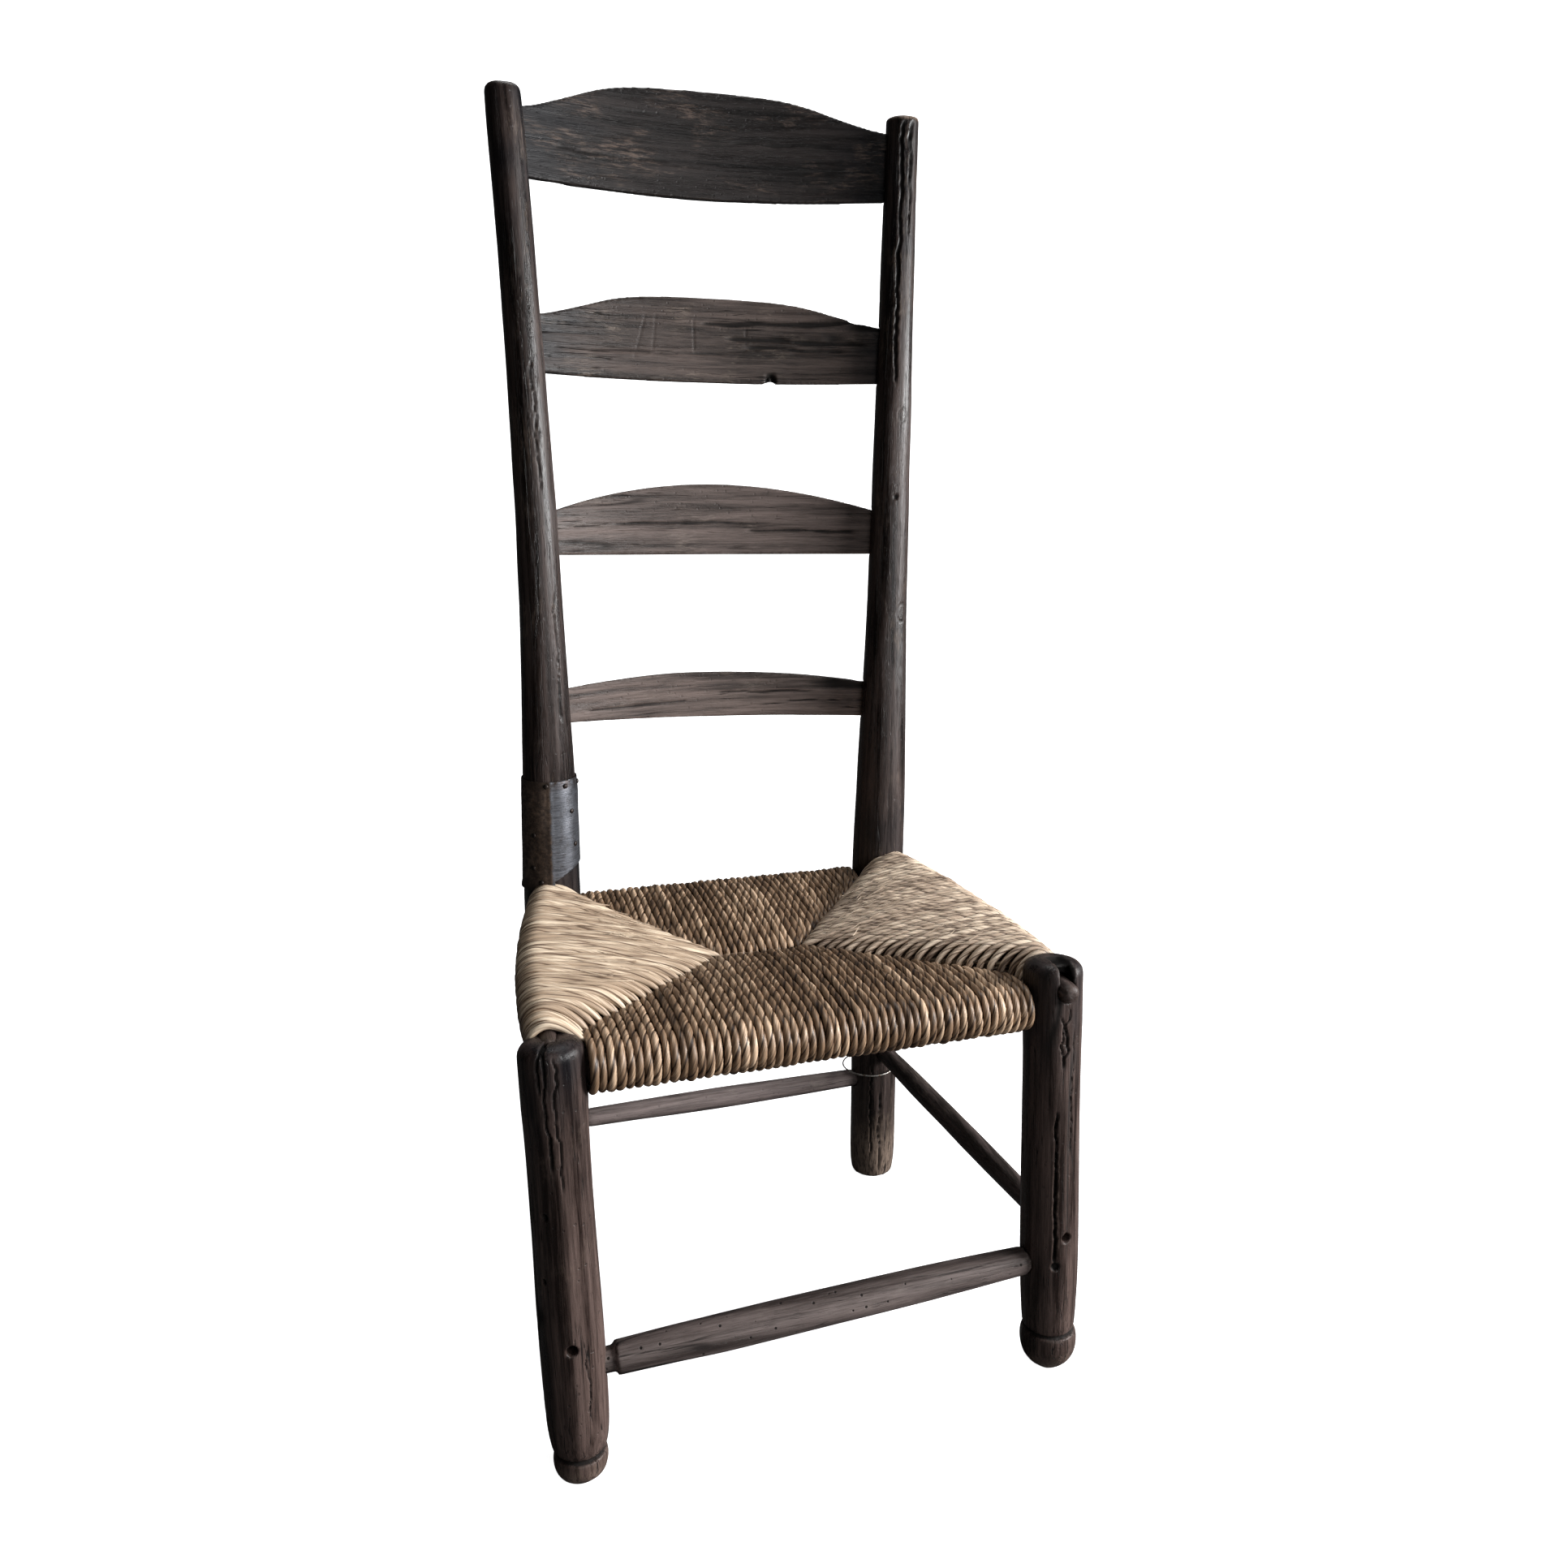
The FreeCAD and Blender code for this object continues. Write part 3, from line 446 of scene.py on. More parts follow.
rubbed_edge = w.times(w.times(w.attribute("edge"), w.between(scuff, 0.4, 0.6)), 0.35)
rub = w.plus(w.times(rub, given["Rubbing"]), rubbed_edge, clamp=True)
stain = w.attribute("stain")
colour = w.mix(w.times(w.between(stain, 0.0, 1.0), 0.9), colour, given["Soot"])
colour = w.mix(rub, colour, given["Rubbed"])
bare = w.times(w.between(stain, 0.0, -1.0), w.between(scuff, 0.36, 0.56))
colour = w.mix(bare, colour, given["Rubbed"])
colour = w.mix(w.times(pore, 0.45), colour, given["Dark"])
spots = w.add("ShaderNodeTexVoronoi", Vector=grain, Scale=150.0)
chosen = w.add("ShaderNodeSeparateColor", Color=spots.outputs["Color"]).outputs[0]
hole = w.times(w.between(spots.outputs["Distance"], 0.2, 0.13), w.between(chosen, 0.55, 0.56))
hole = w.times(hole, given["Worm Holes"])
# Painted shade: cracks, fine checks and worm holes are darkened almost to black, as shade falls inside the
# openings.
line_or_hole = w.math("MAXIMUM", line, hole)
opening = w.math("MAXIMUM", w.attribute("crack"), line_or_hole, clamp=True)
colour = w.mix(w.times(opening, 0.93), colour, (0.004, 0.003, 0.0025, 1))
rough = w.plus(w.between(streak, 0.3, 0.75, 0.42, 0.72), w.times(opening, 0.4))
rough = w.minus(rough, w.times(given["Gloss"], 0.25), clamp=True)
height = w.plus(w.times(fibre, 0.55), w.times(streak, 0.45))
height = w.minus(w.minus(height, w.times(line_or_hole, 1.6)), w.times(pore, 0.25))
w.add("NodeGroupOutput", Color=colour, Roughness=rough, Height=height)


def wood(name, dark, light, rubbed, streaks, rubbing, lines, worms, gloss, shift):
    return group_finish(name, aged_wood, {
        "Dark": dark, "Light": light, "Rubbed": rubbed, "Streaks": streaks, "Rubbing": rubbing,
        "Lines": lines, "Worm Holes": worms, "Gloss": gloss, "Shift": shift,
    }, 0.55, 0.0009, 0.26)


def hand_over(piece, node):
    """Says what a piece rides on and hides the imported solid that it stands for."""
    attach(piece, "root")
    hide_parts(node)


def dress(name, node, voxel, grain_of, seed, wear, finish, marks=(), stain_of=None):
    """Makes the worn piece for one packed wooden solid. wear is its waves, ridges and checks."""
    piece = even_mesh(name, node, voxel)
    weather(piece, grain_of, seed, *wear, marks, stain_of)
    piece.data.materials.clear()
    piece.data.materials.append(finish)
    hand_over(piece, node)


# Front legs: turned from green wood, with a scribed line above a worn round foot and a domed top.
# They rake back, and both are checked from the top down where the end grain has dried.
middle_x, middle_y = -0.000295, -0.200308
leg_rake = 0.119
leg_foot_x, leg_spread = 0.1946, 0.016


def leg_grain(side):
    def grain_of(points):
        z = points[:, 2]
        x = points[:, 0] - side * (leg_foot_x + leg_spread * z) - middle_x
        return np.column_stack((x, points[:, 1] - leg_rake * z - middle_y, z))
    return grain_of


def on_face(grain, direction):
    """Distance across the face that points in a direction, in degrees from +X, and what lies on it."""
    angle = math.radians(direction)
    across = grain[:, 1] * math.cos(angle) - grain[:, 0] * math.sin(angle)
    outward = grain[:, 0] * math.cos(angle) + grain[:, 1] * math.sin(angle)
    return across, outward > 0


def long_crack(direction, low, high, width, depth, seed, wander=0.0015):
    """A crack along the grain on the face that points in a direction."""
    def mark(grain):
        across, facing = on_face(grain, direction)
        z = grain[:, 2]
        spot = np.column_stack((z * 60, np.zeros_like(z), np.zeros_like(z)))
        off = across - wander * lattice_noise(spot, seed) - wander * 0.5 * lattice_noise(spot * 3.1, seed + 1)
        ends = fade(z, low, low + 0.012) * fade(z, high, high - 0.012)
        narrow = width * (0.8 + 0.3 * lattice_noise(spot * 0.7 + 4, seed + 2))
        return depth * fade(np.abs(off), narrow, 0.0) * ends * facing
    return mark


def pit(direction, height, radius, depth):
    """A small hole in the face that points in a direction."""
    def mark(grain):
        across, facing = on_face(grain, direction)
        distance = np.hypot(across, grain[:, 2] - height)
        return depth * fade(distance, radius, radius * 0.4) * facing
    return mark


def scribed_line(height, depth):
    """The line that the turner cut all round above the foot."""
    return lambda grain: depth * fade(np.abs(grain[:, 2] - height), 0.0021, 0.0006)


def knot(direction, height, radius):
    """A knot: a ring-shaped groove round a low swelling."""
    def mark(grain):
        across, facing = on_face(grain, direction)
        distance = np.hypot(across, (grain[:, 2] - height) * 0.7)
        ring = 0.0013 * fade(np.abs(distance - radius), 0.0016, 0.0)
        return (ring - 0.0012 * fade(distance, radius * 2.2, 0.0)) * facing
    return mark


def broken_top(grain):
    """The wood broken away round the split in the right leg's top."""
    edge = 0.0085 + 0.002 * lattice_noise(grain * (200, 200, 90), 71)
    across = fade(np.abs(grain[:, 0] - 0.001), edge, 0.003)
    return 0.0042 * across * fade(grain[:, 2], 0.318, 0.342) * fade(grain[:, 1], 0.008, 0.0)


def leg_stain(grain):
    return 0.65 * fade(grain[:, 2], 0.22, 0.345) - 0.45 * fade(grain[:, 2], 0.03, 0.005)


leg_tints = ((0.013, 0.0074, 0.006), (0.125, 0.085, 0.074), (0.28, 0.205, 0.165))
left_leg_wood = wood("left_leg_wood", *leg_tints, 0.9, 0.3, 1.0, 0.4, 0.75, 0.0)
right_leg_wood = wood("right_leg_wood", *leg_tints, 0.9, 0.3, 1.0, 0.2, 0.75, 4.0)
leg_voxel, leg_wear = 0.00105, (0.0006, 0.00013, 0.0004)
dress(
    "leg_left", "front_leg_left", leg_voxel, leg_grain(-1), 11, leg_wear, left_leg_wood,
    [
        long_crack(-119, 0.302, 0.352, 0.0016, 0.003, 1, 0.0018),
        long_crack(-109, 0.246, 0.352, 0.0015, 0.003, 2),
        long_crack(-92, 0.23, 0.335, 0.0012, 0.002, 3),
        long_crack(-70, 0.05, 0.12, 0.0009, 0.002, 4),
        pit(-129, 0.2142, 0.0032, 0.003), pit(-140, 0.1648, 0.0026, 0.0025), scribed_line(0.0228, 0.0014),
    ],
    leg_stain,
)
dress(
    "leg_right", "front_leg_right", leg_voxel, leg_grain(1), 23, leg_wear, right_leg_wood,
    [
        long_crack(-108, 0.1, 0.232, 0.0019, 0.0045, 5, 0.001),
        long_crack(-90, 0.262, 0.318, 0.0015, 0.003, 6, 0.004),
        long_crack(-104, 0.27, 0.312, 0.0013, 0.0025, 7, 0.004),
        long_crack(-74, 0.19, 0.3, 0.0012, 0.0018, 8),
        pit(-107, 0.1, 0.0042, 0.003), broken_top, scribed_line(0.0365, 0.0014),
    ],
    leg_stain,
)

# Rear posts: one length of wood each, shaved round and bent back above the seat, thickest at the
# seat where the rails enter, with the slats' mortises above. Their grain follows the bend.
post_foot_x, post_seat_x, post_top_x = 0.1608, 0.163, 0.1798
post_foot_y, post_seat_y, post_top_y = 0.32, 0.3315, 0.382
post_seat_z, post_top_z = 0.324, 1.038
post_sway, post_flare, post_lean = 0.01, 1.8, 1.3


def post_centre(side, z):
    """X and Y of a rear post's middle at heights z."""
    low = np.minimum(z, post_seat_z) / post_seat_z
    t = np.clip((z - post_seat_z) / (post_top_z - post_seat_z), 0, 1)
    flare = (post_top_x - post_seat_x) * t ** post_flare
    x = side * (post_foot_x + (post_seat_x - post_foot_x) * low + flare)
    y = post_foot_y + (post_seat_y - post_foot_y) * low + (post_top_y - post_seat_y) * t ** post_lean
    return x + post_sway * (1 - (1 - t) ** 2) + middle_x, y + middle_y


def post_grain(side):
    def grain_of(points):
        x, y = post_centre(side, points[:, 2])
        return np.column_stack((points[:, 0] - x, points[:, 1] - y, points[:, 2]))
    return grain_of


def post_stain(grain):
    height = grain[:, 2]
    dark = 0.5 * fade(height, 0.8, 1.0) + 0.5 * fade(np.abs(height - 0.36), 0.07, 0.02)
    return dark - 0.8 * fade(height, 0.02, 0.0)


def worn_foot_stain(grain):
    bare = 0.9 * fade(grain[:, 2], 0.09, 0.02) + 1.3 * fade(grain[:, 2], 1.031, 1.036)
    return post_stain(grain) - bare


post_tints = ((0.0065, 0.0043, 0.0037), (0.066, 0.047, 0.042), (0.22, 0.165, 0.13))
left_post_wood = wood("left_post_wood", *post_tints, 0.95, 0.35, 0.7, 0.1, 0.95, 2.3)
right_post_wood = wood("right_post_wood", *post_tints, 0.95, 0.35, 0.8, 0.1, 0.85, 5.1)
post_voxel = 0.0015
dress(
    "post_left", "rear_post_left", post_voxel, post_grain(-1), 31, (0.0007, 0.00016, 0.0006),
    left_post_wood,
    [long_crack(-60, 0.5, 0.62, 0.001, 0.002, 8), long_crack(-80, 0.7, 0.82, 0.0009, 0.0018, 9)],
    post_stain,
)
dress(
    "post_right", "rear_post_right", post_voxel, post_grain(1), 37, (0.0008, 0.00016, 0.0006),
    right_post_wood,
    [
        long_crack(-108, 0.8, 1.036, 0.0022, 0.0032, 12), long_crack(-76, 0.93, 1.036, 0.002, 0.003, 13),
        long_crack(-95, 0.0, 0.1, 0.0012, 0.003, 14), long_crack(-120, 0.02, 0.13, 0.001, 0.003, 15),
        knot(-62, 0.591, 0.006), knot(-80, 0.775, 0.004), pit(-95, 0.7, 0.003, 0.002),
    ],
    worn_foot_stain,
)

# Slats: riven boards, steamed and bent to a shallow bow, their top edges sawn to an arch. Their ends
# are dark where they enter the posts. Weathering has opened the grain along their length.
slat_bow = 0.034
slat_face = -0.004


def slat_grain(low, high):
    """The grain runs along X and follows the bow."""
    def grain_of(points):
        x = points[:, 0] - (low.x + high.x) / 2
        half = (high.x - low.x) / 2
        y = points[:, 1] - high.y + slat_bow * (x / half) ** 2
        return np.column_stack((y, points[:, 2] - low.z, x))
    return grain_of


def board_crack(left, right, height, width, depth, seed, tilt=0.0):
    """A crack along a slat's front face, at a height above the slat's lowest point."""
    def mark(grain):
        along = grain[:, 2]
        spot = np.column_stack((along * 45, np.zeros_like(along), np.zeros_like(along)))
        off = grain[:, 1] - height - tilt * (along - left) - 0.0012 * lattice_noise(spot, seed)
        ends = fade(along, left, left + 0.012) * fade(along, right, right - 0.012)
        narrow = width * (1.5 + 0.7 * lattice_noise(spot * 1.7 + 4, seed + 1))
        return depth * fade(np.abs(off), narrow, 0.0) * ends * (grain[:, 0] < slat_face)
    return mark


def scratch(start, stop, depth):
    """A straight scratch on a slat's front face between two (along, height) places."""
    def mark(grain):
        way = np.array(stop) - np.array(start)
        length = np.linalg.norm(way)
        local = grain[:, (2, 1)] - np.array(start)
        reach = local @ (way / length)
        off = np.abs(local[:, 0] * way[1] - local[:, 1] * way[0]) / length
        held = (reach > 0) * (reach < length) * (grain[:, 0] < slat_face)
        return depth * fade(off, 0.0015, 0.0) * held
    return mark


def notch(along, radius, depth):
    """A nick in a slat's lower edge."""
    def mark(grain):
        return depth * fade(np.abs(grain[:, 2] - along), radius, 0.0) * fade(grain[:, 1], 0.012, 0.004)
    return mark


def slat_stain(left_start, right_start, amount):
    """Dark ends, from a share of the half length outwards."""
    def stain_of(grain):
        half = np.abs(grain[:, 2]).max()
        share = grain[:, 2] / half
        return amount * np.maximum(fade(share, -left_start, -1.0), fade(share, right_start, 1.0))
    return stain_of


slats = (
    ("top_slat", "slat_top", 41, (0.0045, 0.0036, 0.0035), (0.024, 0.0185, 0.0175), (0.11, 0.079, 0.064),
     0.8, 1.0, 0.6, 7.1, slat_stain(0.3, 0.5, 0.75),
     [board_crack(-0.14, -0.03, 0.03, 0.0009, 0.0012, 1), board_crack(0.02, 0.12, 0.05, 0.0009, 0.0012, 3)]),
    ("upper_slat", "slat_upper_middle", 43,
     (0.012, 0.0085, 0.0072), (0.098, 0.073, 0.064), (0.24, 0.19, 0.155),
     0.85, 0.6, 1.0, 9.7, slat_stain(0.55, 0.62, 0.95),
     [board_crack(-0.01, 0.152, 0.052, 0.002, 0.002, 21, 0.03),
      board_crack(0.012, 0.15, 0.041, 0.0017, 0.0018, 23, -0.03),
      board_crack(0.03, 0.13, 0.033, 0.0015, 0.0016, 25, -0.02),
      board_crack(-0.12, 0.02, 0.026, 0.0009, 0.001, 27),
      scratch((-0.015, 0.028), (-0.015, 0.056), 0.00045), scratch((-0.015, 0.056), (0.035, 0.058), 0.00045),
      scratch((0.035, 0.058), (0.034, 0.03), 0.00045), scratch((0.034, 0.03), (-0.015, 0.028), 0.00045),
      scratch((-0.072, 0.02), (-0.06, 0.058), 0.0003), scratch((-0.055, 0.024), (-0.05, 0.06), 0.0003),
      notch(0.057, 0.0065, 0.0055)]),
    ("lower_slat", "slat_lower_middle", 47, (0.03, 0.022, 0.019), (0.16, 0.122, 0.11), (0.3, 0.245, 0.21),
     0.8, 0.4, 1.0, 12.9, slat_stain(0.8, 0.85, 0.9),
     [board_crack(-0.1, 0.06, 0.03, 0.001, 0.0013, 31), board_crack(0.03, 0.14, 0.022, 0.0012, 0.0016, 33)]),
    ("lowest_slat", "slat_lowest", 53, (0.035, 0.026, 0.023), (0.18, 0.137, 0.122), (0.32, 0.26, 0.22),
     0.8, 0.4, 1.0, 15.1, slat_stain(0.85, 0.85, 0.9),
     [board_crack(-0.13, -0.02, 0.02, 0.001, 0.0013, 35), board_crack(0.0, 0.1, 0.026, 0.0012, 0.0015, 37)]),
)
for name, node, seed, dark, light, rubbed, streaks, rubbing, lines, shift, stain_of, marks in slats:
    low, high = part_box(node)
    finish = wood(name + "_wood", dark, light, rubbed, streaks, rubbing, lines, 0.2, 0.55, shift)
    slot = "dark_wood" if node == "slat_top" else "weathered_wood"
    dress(
        name, node, 0.0013, slat_grain(low, high), seed, (0.0005, 0.00014, 0.0007), finish, marks,
        stain_of,
    )

# Stretchers: shaved rods whose ends are pared down into the legs. The front one is hewn thicker,
# greyer and wormed. The rear one and the two side ones are thinner.
def rod_grain(low, high, along):
    across = 1 - along
    return lambda points: (points - np.array((low + high) / 2))[:, (across, 2, along)]


grey_wood = wood(
    "grey_stretcher_wood", (0.05, 0.038, 0.035), (0.2, 0.16, 0.15), (0.32, 0.27, 0.24),
    0.7, 0.3, 0.7, 1.0, 0.5, 18.3,
)
rear_wood = wood(
    "rear_stretcher_wood", (0.06, 0.048, 0.045), (0.25, 0.2, 0.19), (0.36, 0.31, 0.27),
    0.7, 0.3, 0.7, 0.2, 0.5, 21.3,
)
side_wood = wood(
    "side_stretcher_wood", (0.02, 0.015, 0.013), (0.12, 0.09, 0.085), (0.3, 0.24, 0.2),
    0.8, 0.3, 0.7, 0.2, 0.5, 24.7,
)
rail_wood = wood(
    "rail_wood", (0.02, 0.013, 0.011), (0.1, 0.072, 0.064), (0.26, 0.2, 0.16), 0.7, 0.3, 0.6, 0.0, 0.5, 27.1,
)
for name, node, along, finish, slot, seed in (
    ("front_stretcher", "stretcher_front", 0, grey_wood, "weathered_wood", 61),
    ("rear_stretcher", "stretcher_rear", 0, rear_wood, "dark_wood", 67),
    ("left_stretcher", "stretcher_left", 1, side_wood, "dark_wood", 71),
    ("right_stretcher", "stretcher_right", 1, side_wood, "dark_wood", 73),
    ("front_rail", "seat_rail_front", 0, rail_wood, "dark_wood", 79),
    ("rear_rail", "seat_rail_rear", 0, rail_wood, "dark_wood", 83),
    ("left_rail", "seat_rail_left", 1, rail_wood, "dark_wood", 89),
    ("right_rail", "seat_rail_right", 1, rail_wood, "dark_wood", 97),
):
    low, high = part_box(node)
    voxel = 0.0013 if node in ("stretcher_front", "seat_rail_right") else 0.0017
    dress(name, node, voxel, rod_grain(low, high, along), seed, (0.0006, 0.00015, 0.0006), finish)

# Rush seat: twisted cord of bulrush leaves, wrapped over each rail in turn, over the top, down and
# back underneath, so that four triangles meet at two points. Each turn lies against the next and
# dives between the layers where it meets the next triangle. Sizes here are in millimetres.
front_cord_count, rear_cord_count, side_cord_count = 54, 43, 42
front_rail_radius, thin_rail_radius = 13.0, 11.5
front_rail_z, rear_rail_z, side_rail_front_z, side_rail_rear_z = 310.5, 318.0, 329.0, 341.0
side_rail_bow = 11.0
leg_clearance, rail_clearance = 0.8, 0.4
left_tip, right_tip = (-41.0, 182.0), (35.0, 182.0)
middle_top, middle_bottom = 321.0, 300.0
crown = 650.0
cord_step, hidden_step = 2.3, 4.5
foot_x, leg_face, post_face = 194.6, 23.7, 25.4
# A cord's end dives over the last stretch, sweeps sideways over a longer one, and is lifted where
# it crosses over another. Three more side cords hide the rail's bare end at each front corner.
dive, sweep, lifted = 7.0, 26.0, 22.0
dive_depth, crossing_push, crossing_lift = 3.2, 2.0, 0.7
extra_cords = 3


def leg_line(side, z):
    return side * (foot_x + leg_spread * z), leg_rake * z


def post_line(side, z):
    x, y = post_centre(side, np.array(z / 1000))
    return (float(x) - middle_x) * 1000, (float(y) - middle_y) * 1000


def corner_of(side, end):
    """Where two triangles' cords meet beside a leg or post."""
    if end == "front":
        x, _ = leg_line(side, front_rail_z)
        _, y = leg_line(side, side_rail_front_z + thin_rail_radius)
        return x - side * (leg_face + leg_clearance), y + leg_face + leg_clearance
    x, y = post_line(side, rear_rail_z)
    return x - side * (post_face + leg_clearance), y - post_face - leg_clearance


def side_rail_point(side, y):
    """X and height of a side rail's bowed middle line at depth y."""
    (fx, fy), (rx, ry) = leg_line(side, side_rail_front_z), post_line(side, side_rail_rear_z)
    t = (y - fy) / (ry - fy)
    x = fx + (rx - fx) * t + side * side_rail_bow * 4 * t * (1 - t)
    return x, side_rail_front_z + (side_rail_rear_z - side_rail_front_z) * t


def arc_points(centre, radius, start, stop, step):
    count = max(2, int(abs(stop - start) * radius / step) + 1)
    return [
        (centre[0] + radius * math.cos(start + (stop - start) * k / count),
         centre[1] + radius * math.sin(start + (stop - start) * k / count))
        for k in range(count + 1)
    ]


def crown_arc(centre, end, wrap, turn):
    """Middle and end directions of the arched run from a turn round the rail to end."""
    across, rise = end[0] - centre[0], end[1] - centre[1]
    distance = math.hypot(across, rise)
    inner = crown - wrap
    bend = math.acos((distance ** 2 + inner ** 2 - crown ** 2) / (2 * distance * inner))
    direction = math.atan2(rise, across) - turn * bend
    middle = (centre[0] + inner * math.cos(direction), centre[1] + inner * math.sin(direction))
    return middle, math.atan2(end[1] - middle[1], end[0] - middle[0]), direction + math.pi


def within_half_turn(angle, other):
    """The same direction as angle, at most half a turn from other."""
    while angle - other > math.pi:
        angle -= 2 * math.pi
    while angle - other < -math.pi:
        angle += 2 * math.pi
    return angle


def turn_path(rail, wrap, reach, share, outward):
    """One turn of cord in its own plane: from its end on top, round the rail, to its end below."""
    top, bottom = rail[1] + wrap, rail[1] - wrap
    top_end = (reach, top + (middle_top - top) * share)
    bottom_end = (reach, bottom + (middle_bottom - bottom) * share)
    turn = -outward
    middle, end_way, touch_way = crown_arc(rail, top_end, wrap, turn)
    path = arc_points(middle, crown, end_way, within_half_turn(touch_way, end_way), cord_step)
    low_middle, low_end_way, low_touch_way = crown_arc(rail, bottom_end, wrap, -turn)
    low_touch_way = within_half_turn(low_touch_way, low_end_way)
    start = math.atan2(path[-1][1] - rail[1], path[-1][0] - rail[0])
    low_x = low_middle[0] + crown * math.cos(low_touch_way)
    low_z = low_middle[1] + crown * math.sin(low_touch_way)
    stop = math.atan2(low_z - rail[1], low_x - rail[0])
    if outward < 0 and stop < start:
        stop += 2 * math.pi
    path += arc_points(rail, wrap, start, stop, cord_step)[1:]
    path += arc_points(low_middle, crown, low_touch_way, low_end_way, hidden_step)[1:]
    return np.array(path)


def cord_noise(along, length, rng, seed):
    """Smooth noise along one cord."""
    row = np.full_like(along, rng.uniform(0, 30))
    return lattice_noise(np.column_stack((along / length, row, along * 0)), seed)


def cord_lines(turns, radius, seed, twist, wisps):
    """Joins the turns' paths in one mesh of lines with the facts that the cord tree reads."""
    rng = np.random.default_rng(seed)
    points, edges, facts = [], [], {"turn": [], "thick": [], "along": [], "tone": []}

    def add_line(space, **values):
        first = len(points)
        points.extend(space)
        edges.extend((first + k, first + k + 1) for k in range(len(space) - 1))
        for key, value in values.items():
            facts[key] += list(value)

    for path, plane, side_way, bend, meet, over, outward_way in turns:
        step = np.linalg.norm(np.diff(path, axis=0), axis=1)
        along = np.concatenate(([0.0], np.cumsum(step)))
        total = along[-1]
        from_end = np.minimum(along, total - along)
        last = np.clip(1 - from_end / dive, 0, 1)
        drop = last ** 2
        near = np.clip(1 - from_end / sweep, 0, 1) ** 2
        top_half = along < total / 2
        space = np.array([plane(a, b) for a, b in path])
        sway = cord_noise(along, 26, rng, seed)
        lift = cord_noise(along, 18, rng, seed + 1)
        space += np.outer(sway * 0.5 + rng.normal(0, 0.15) + bend * near, side_way)
        crossing = over * crossing_lift * np.clip(1 - from_end / lifted, 0, 1)
        space[:, 2] += np.where(top_half, 1, -1) * (lift * 0.5 + rng.normal(0, 0.25) + crossing)
        space[:, 2] += np.where(top_half, -drop * dive_depth - meet * near, drop * dive_depth)
        space += np.outer(last * crossing_push * over, outward_way)
        swell = cord_noise(along, 15, rng, seed + 2)
        thick = radius * (0.97 + rng.normal(0, 0.06) + 0.08 * swell) * (1 - 0.42 * drop)
        rate = 2 * math.pi / (twist * (1 + rng.normal(0, 0.12)))
        wave = cord_noise(along, 40, rng, seed + 3)
        add_line(
            space, thick=thick, turn=rng.uniform(0, 6.28) + rate * along + 0.8 * wave, along=along,
            tone=[rng.uniform(0, 1)] * len(path),
        )
    # Loose ends of straw lift from the top runs of the longer turns.
    long_turns = [turn for turn in turns if len(turn[0]) > 60]
    for _ in range(wisps):
        path, plane, side_way = long_turns[rng.integers(len(long_turns))][:3]
        start = rng.integers(2, int(len(path) * 0.42) - 14)
        run = path[start:start + rng.integers(4, 13)]
        reach = np.linspace(0, 1, len(run))
        space = np.array([plane(a, b) for a, b in run])
        space += np.outer(reach * rng.normal(0, 4.0), side_way)
        space[:, 2] += radius + 0.15 + reach ** 2 * rng.uniform(-0.6, 3.2)
        add_line(
            space, thick=rng.uniform(0.22, 0.5) * (1 - 0.5 * reach), turn=reach, along=reach,
            tone=[rng.uniform(0, 1)] * len(run),
        )
    mesh = bpy.data.meshes.new("cord_lines")
    mesh.from_pydata([(x / 1000 + middle_x, y / 1000 + middle_y, z / 1000) for x, y, z in points], edges, [])
    for key in ("thick", "along"):
        facts[key] = [value / 1000 for value in facts[key]]
    for key, values in facts.items():
        keep_attribute(mesh, key, np.array(values))
    return mesh


cross_rails = {
    "front": (front_cord_count, front_rail_radius, front_rail_z, leg_line(1, front_rail_z)[1]),
    "rear": (rear_cord_count, thin_rail_radius, rear_rail_z, post_line(1, rear_rail_z)[1]),
}


def cross_pitch(end):
    return (corner_of(1, end)[0] - corner_of(-1, end)[0]) / cross_rails[end][0]


def cross_height(end, y):
    """Height at depth y of the middle lines of the front or rear cords' top runs."""
    _, rail_radius, rail_z, rail_y = cross_rails[end]
    top = rail_z + rail_radius + rail_clearance + cross_pitch(end) / 2
    return top + (middle_top - top) * (y - rail_y) / (left_tip[1] - rail_y)


def cross_turns(end):
    """The turns over the front or rear rail."""
    inward = 1 if end == "front" else -1
    left, right = corner_of(-1, end), corner_of(1, end)
    count, rail_radius, rail_z, rail_y = cross_rails[end]
    pitch = cross_pitch(end)
    radius = pitch / 2
    turns = []
    for k in range(count):
        x = left[0] + pitch * (k + 0.5)
        reach, over, bend = left_tip[1] - inward * 0.6, 0.0, 0.0
        for corner, tip, side in ((left, left_tip, -1), (right, right_tip, 1)):
            if (x - tip[0]) * side > 0:
                reach = corner[1] + (tip[1] - corner[1]) * (x - corner[0]) / (tip[0] - corner[0])
                over = 1.0 if (side > 0 and end == "front") else -1.0
                bend = -2.4 if side > 0 else -1.4 * inward
        share = (reach - rail_y) / (left_tip[1] - rail_y)
        path = turn_path((rail_y, rail_z), rail_radius + rail_clearance + radius, reach, share, -inward)
        turns.append((path, lambda y, z, x=x: (x, y, z), (1, 0, 0), bend, 0.0, over, (0, inward, 0)))
    return turns, radius


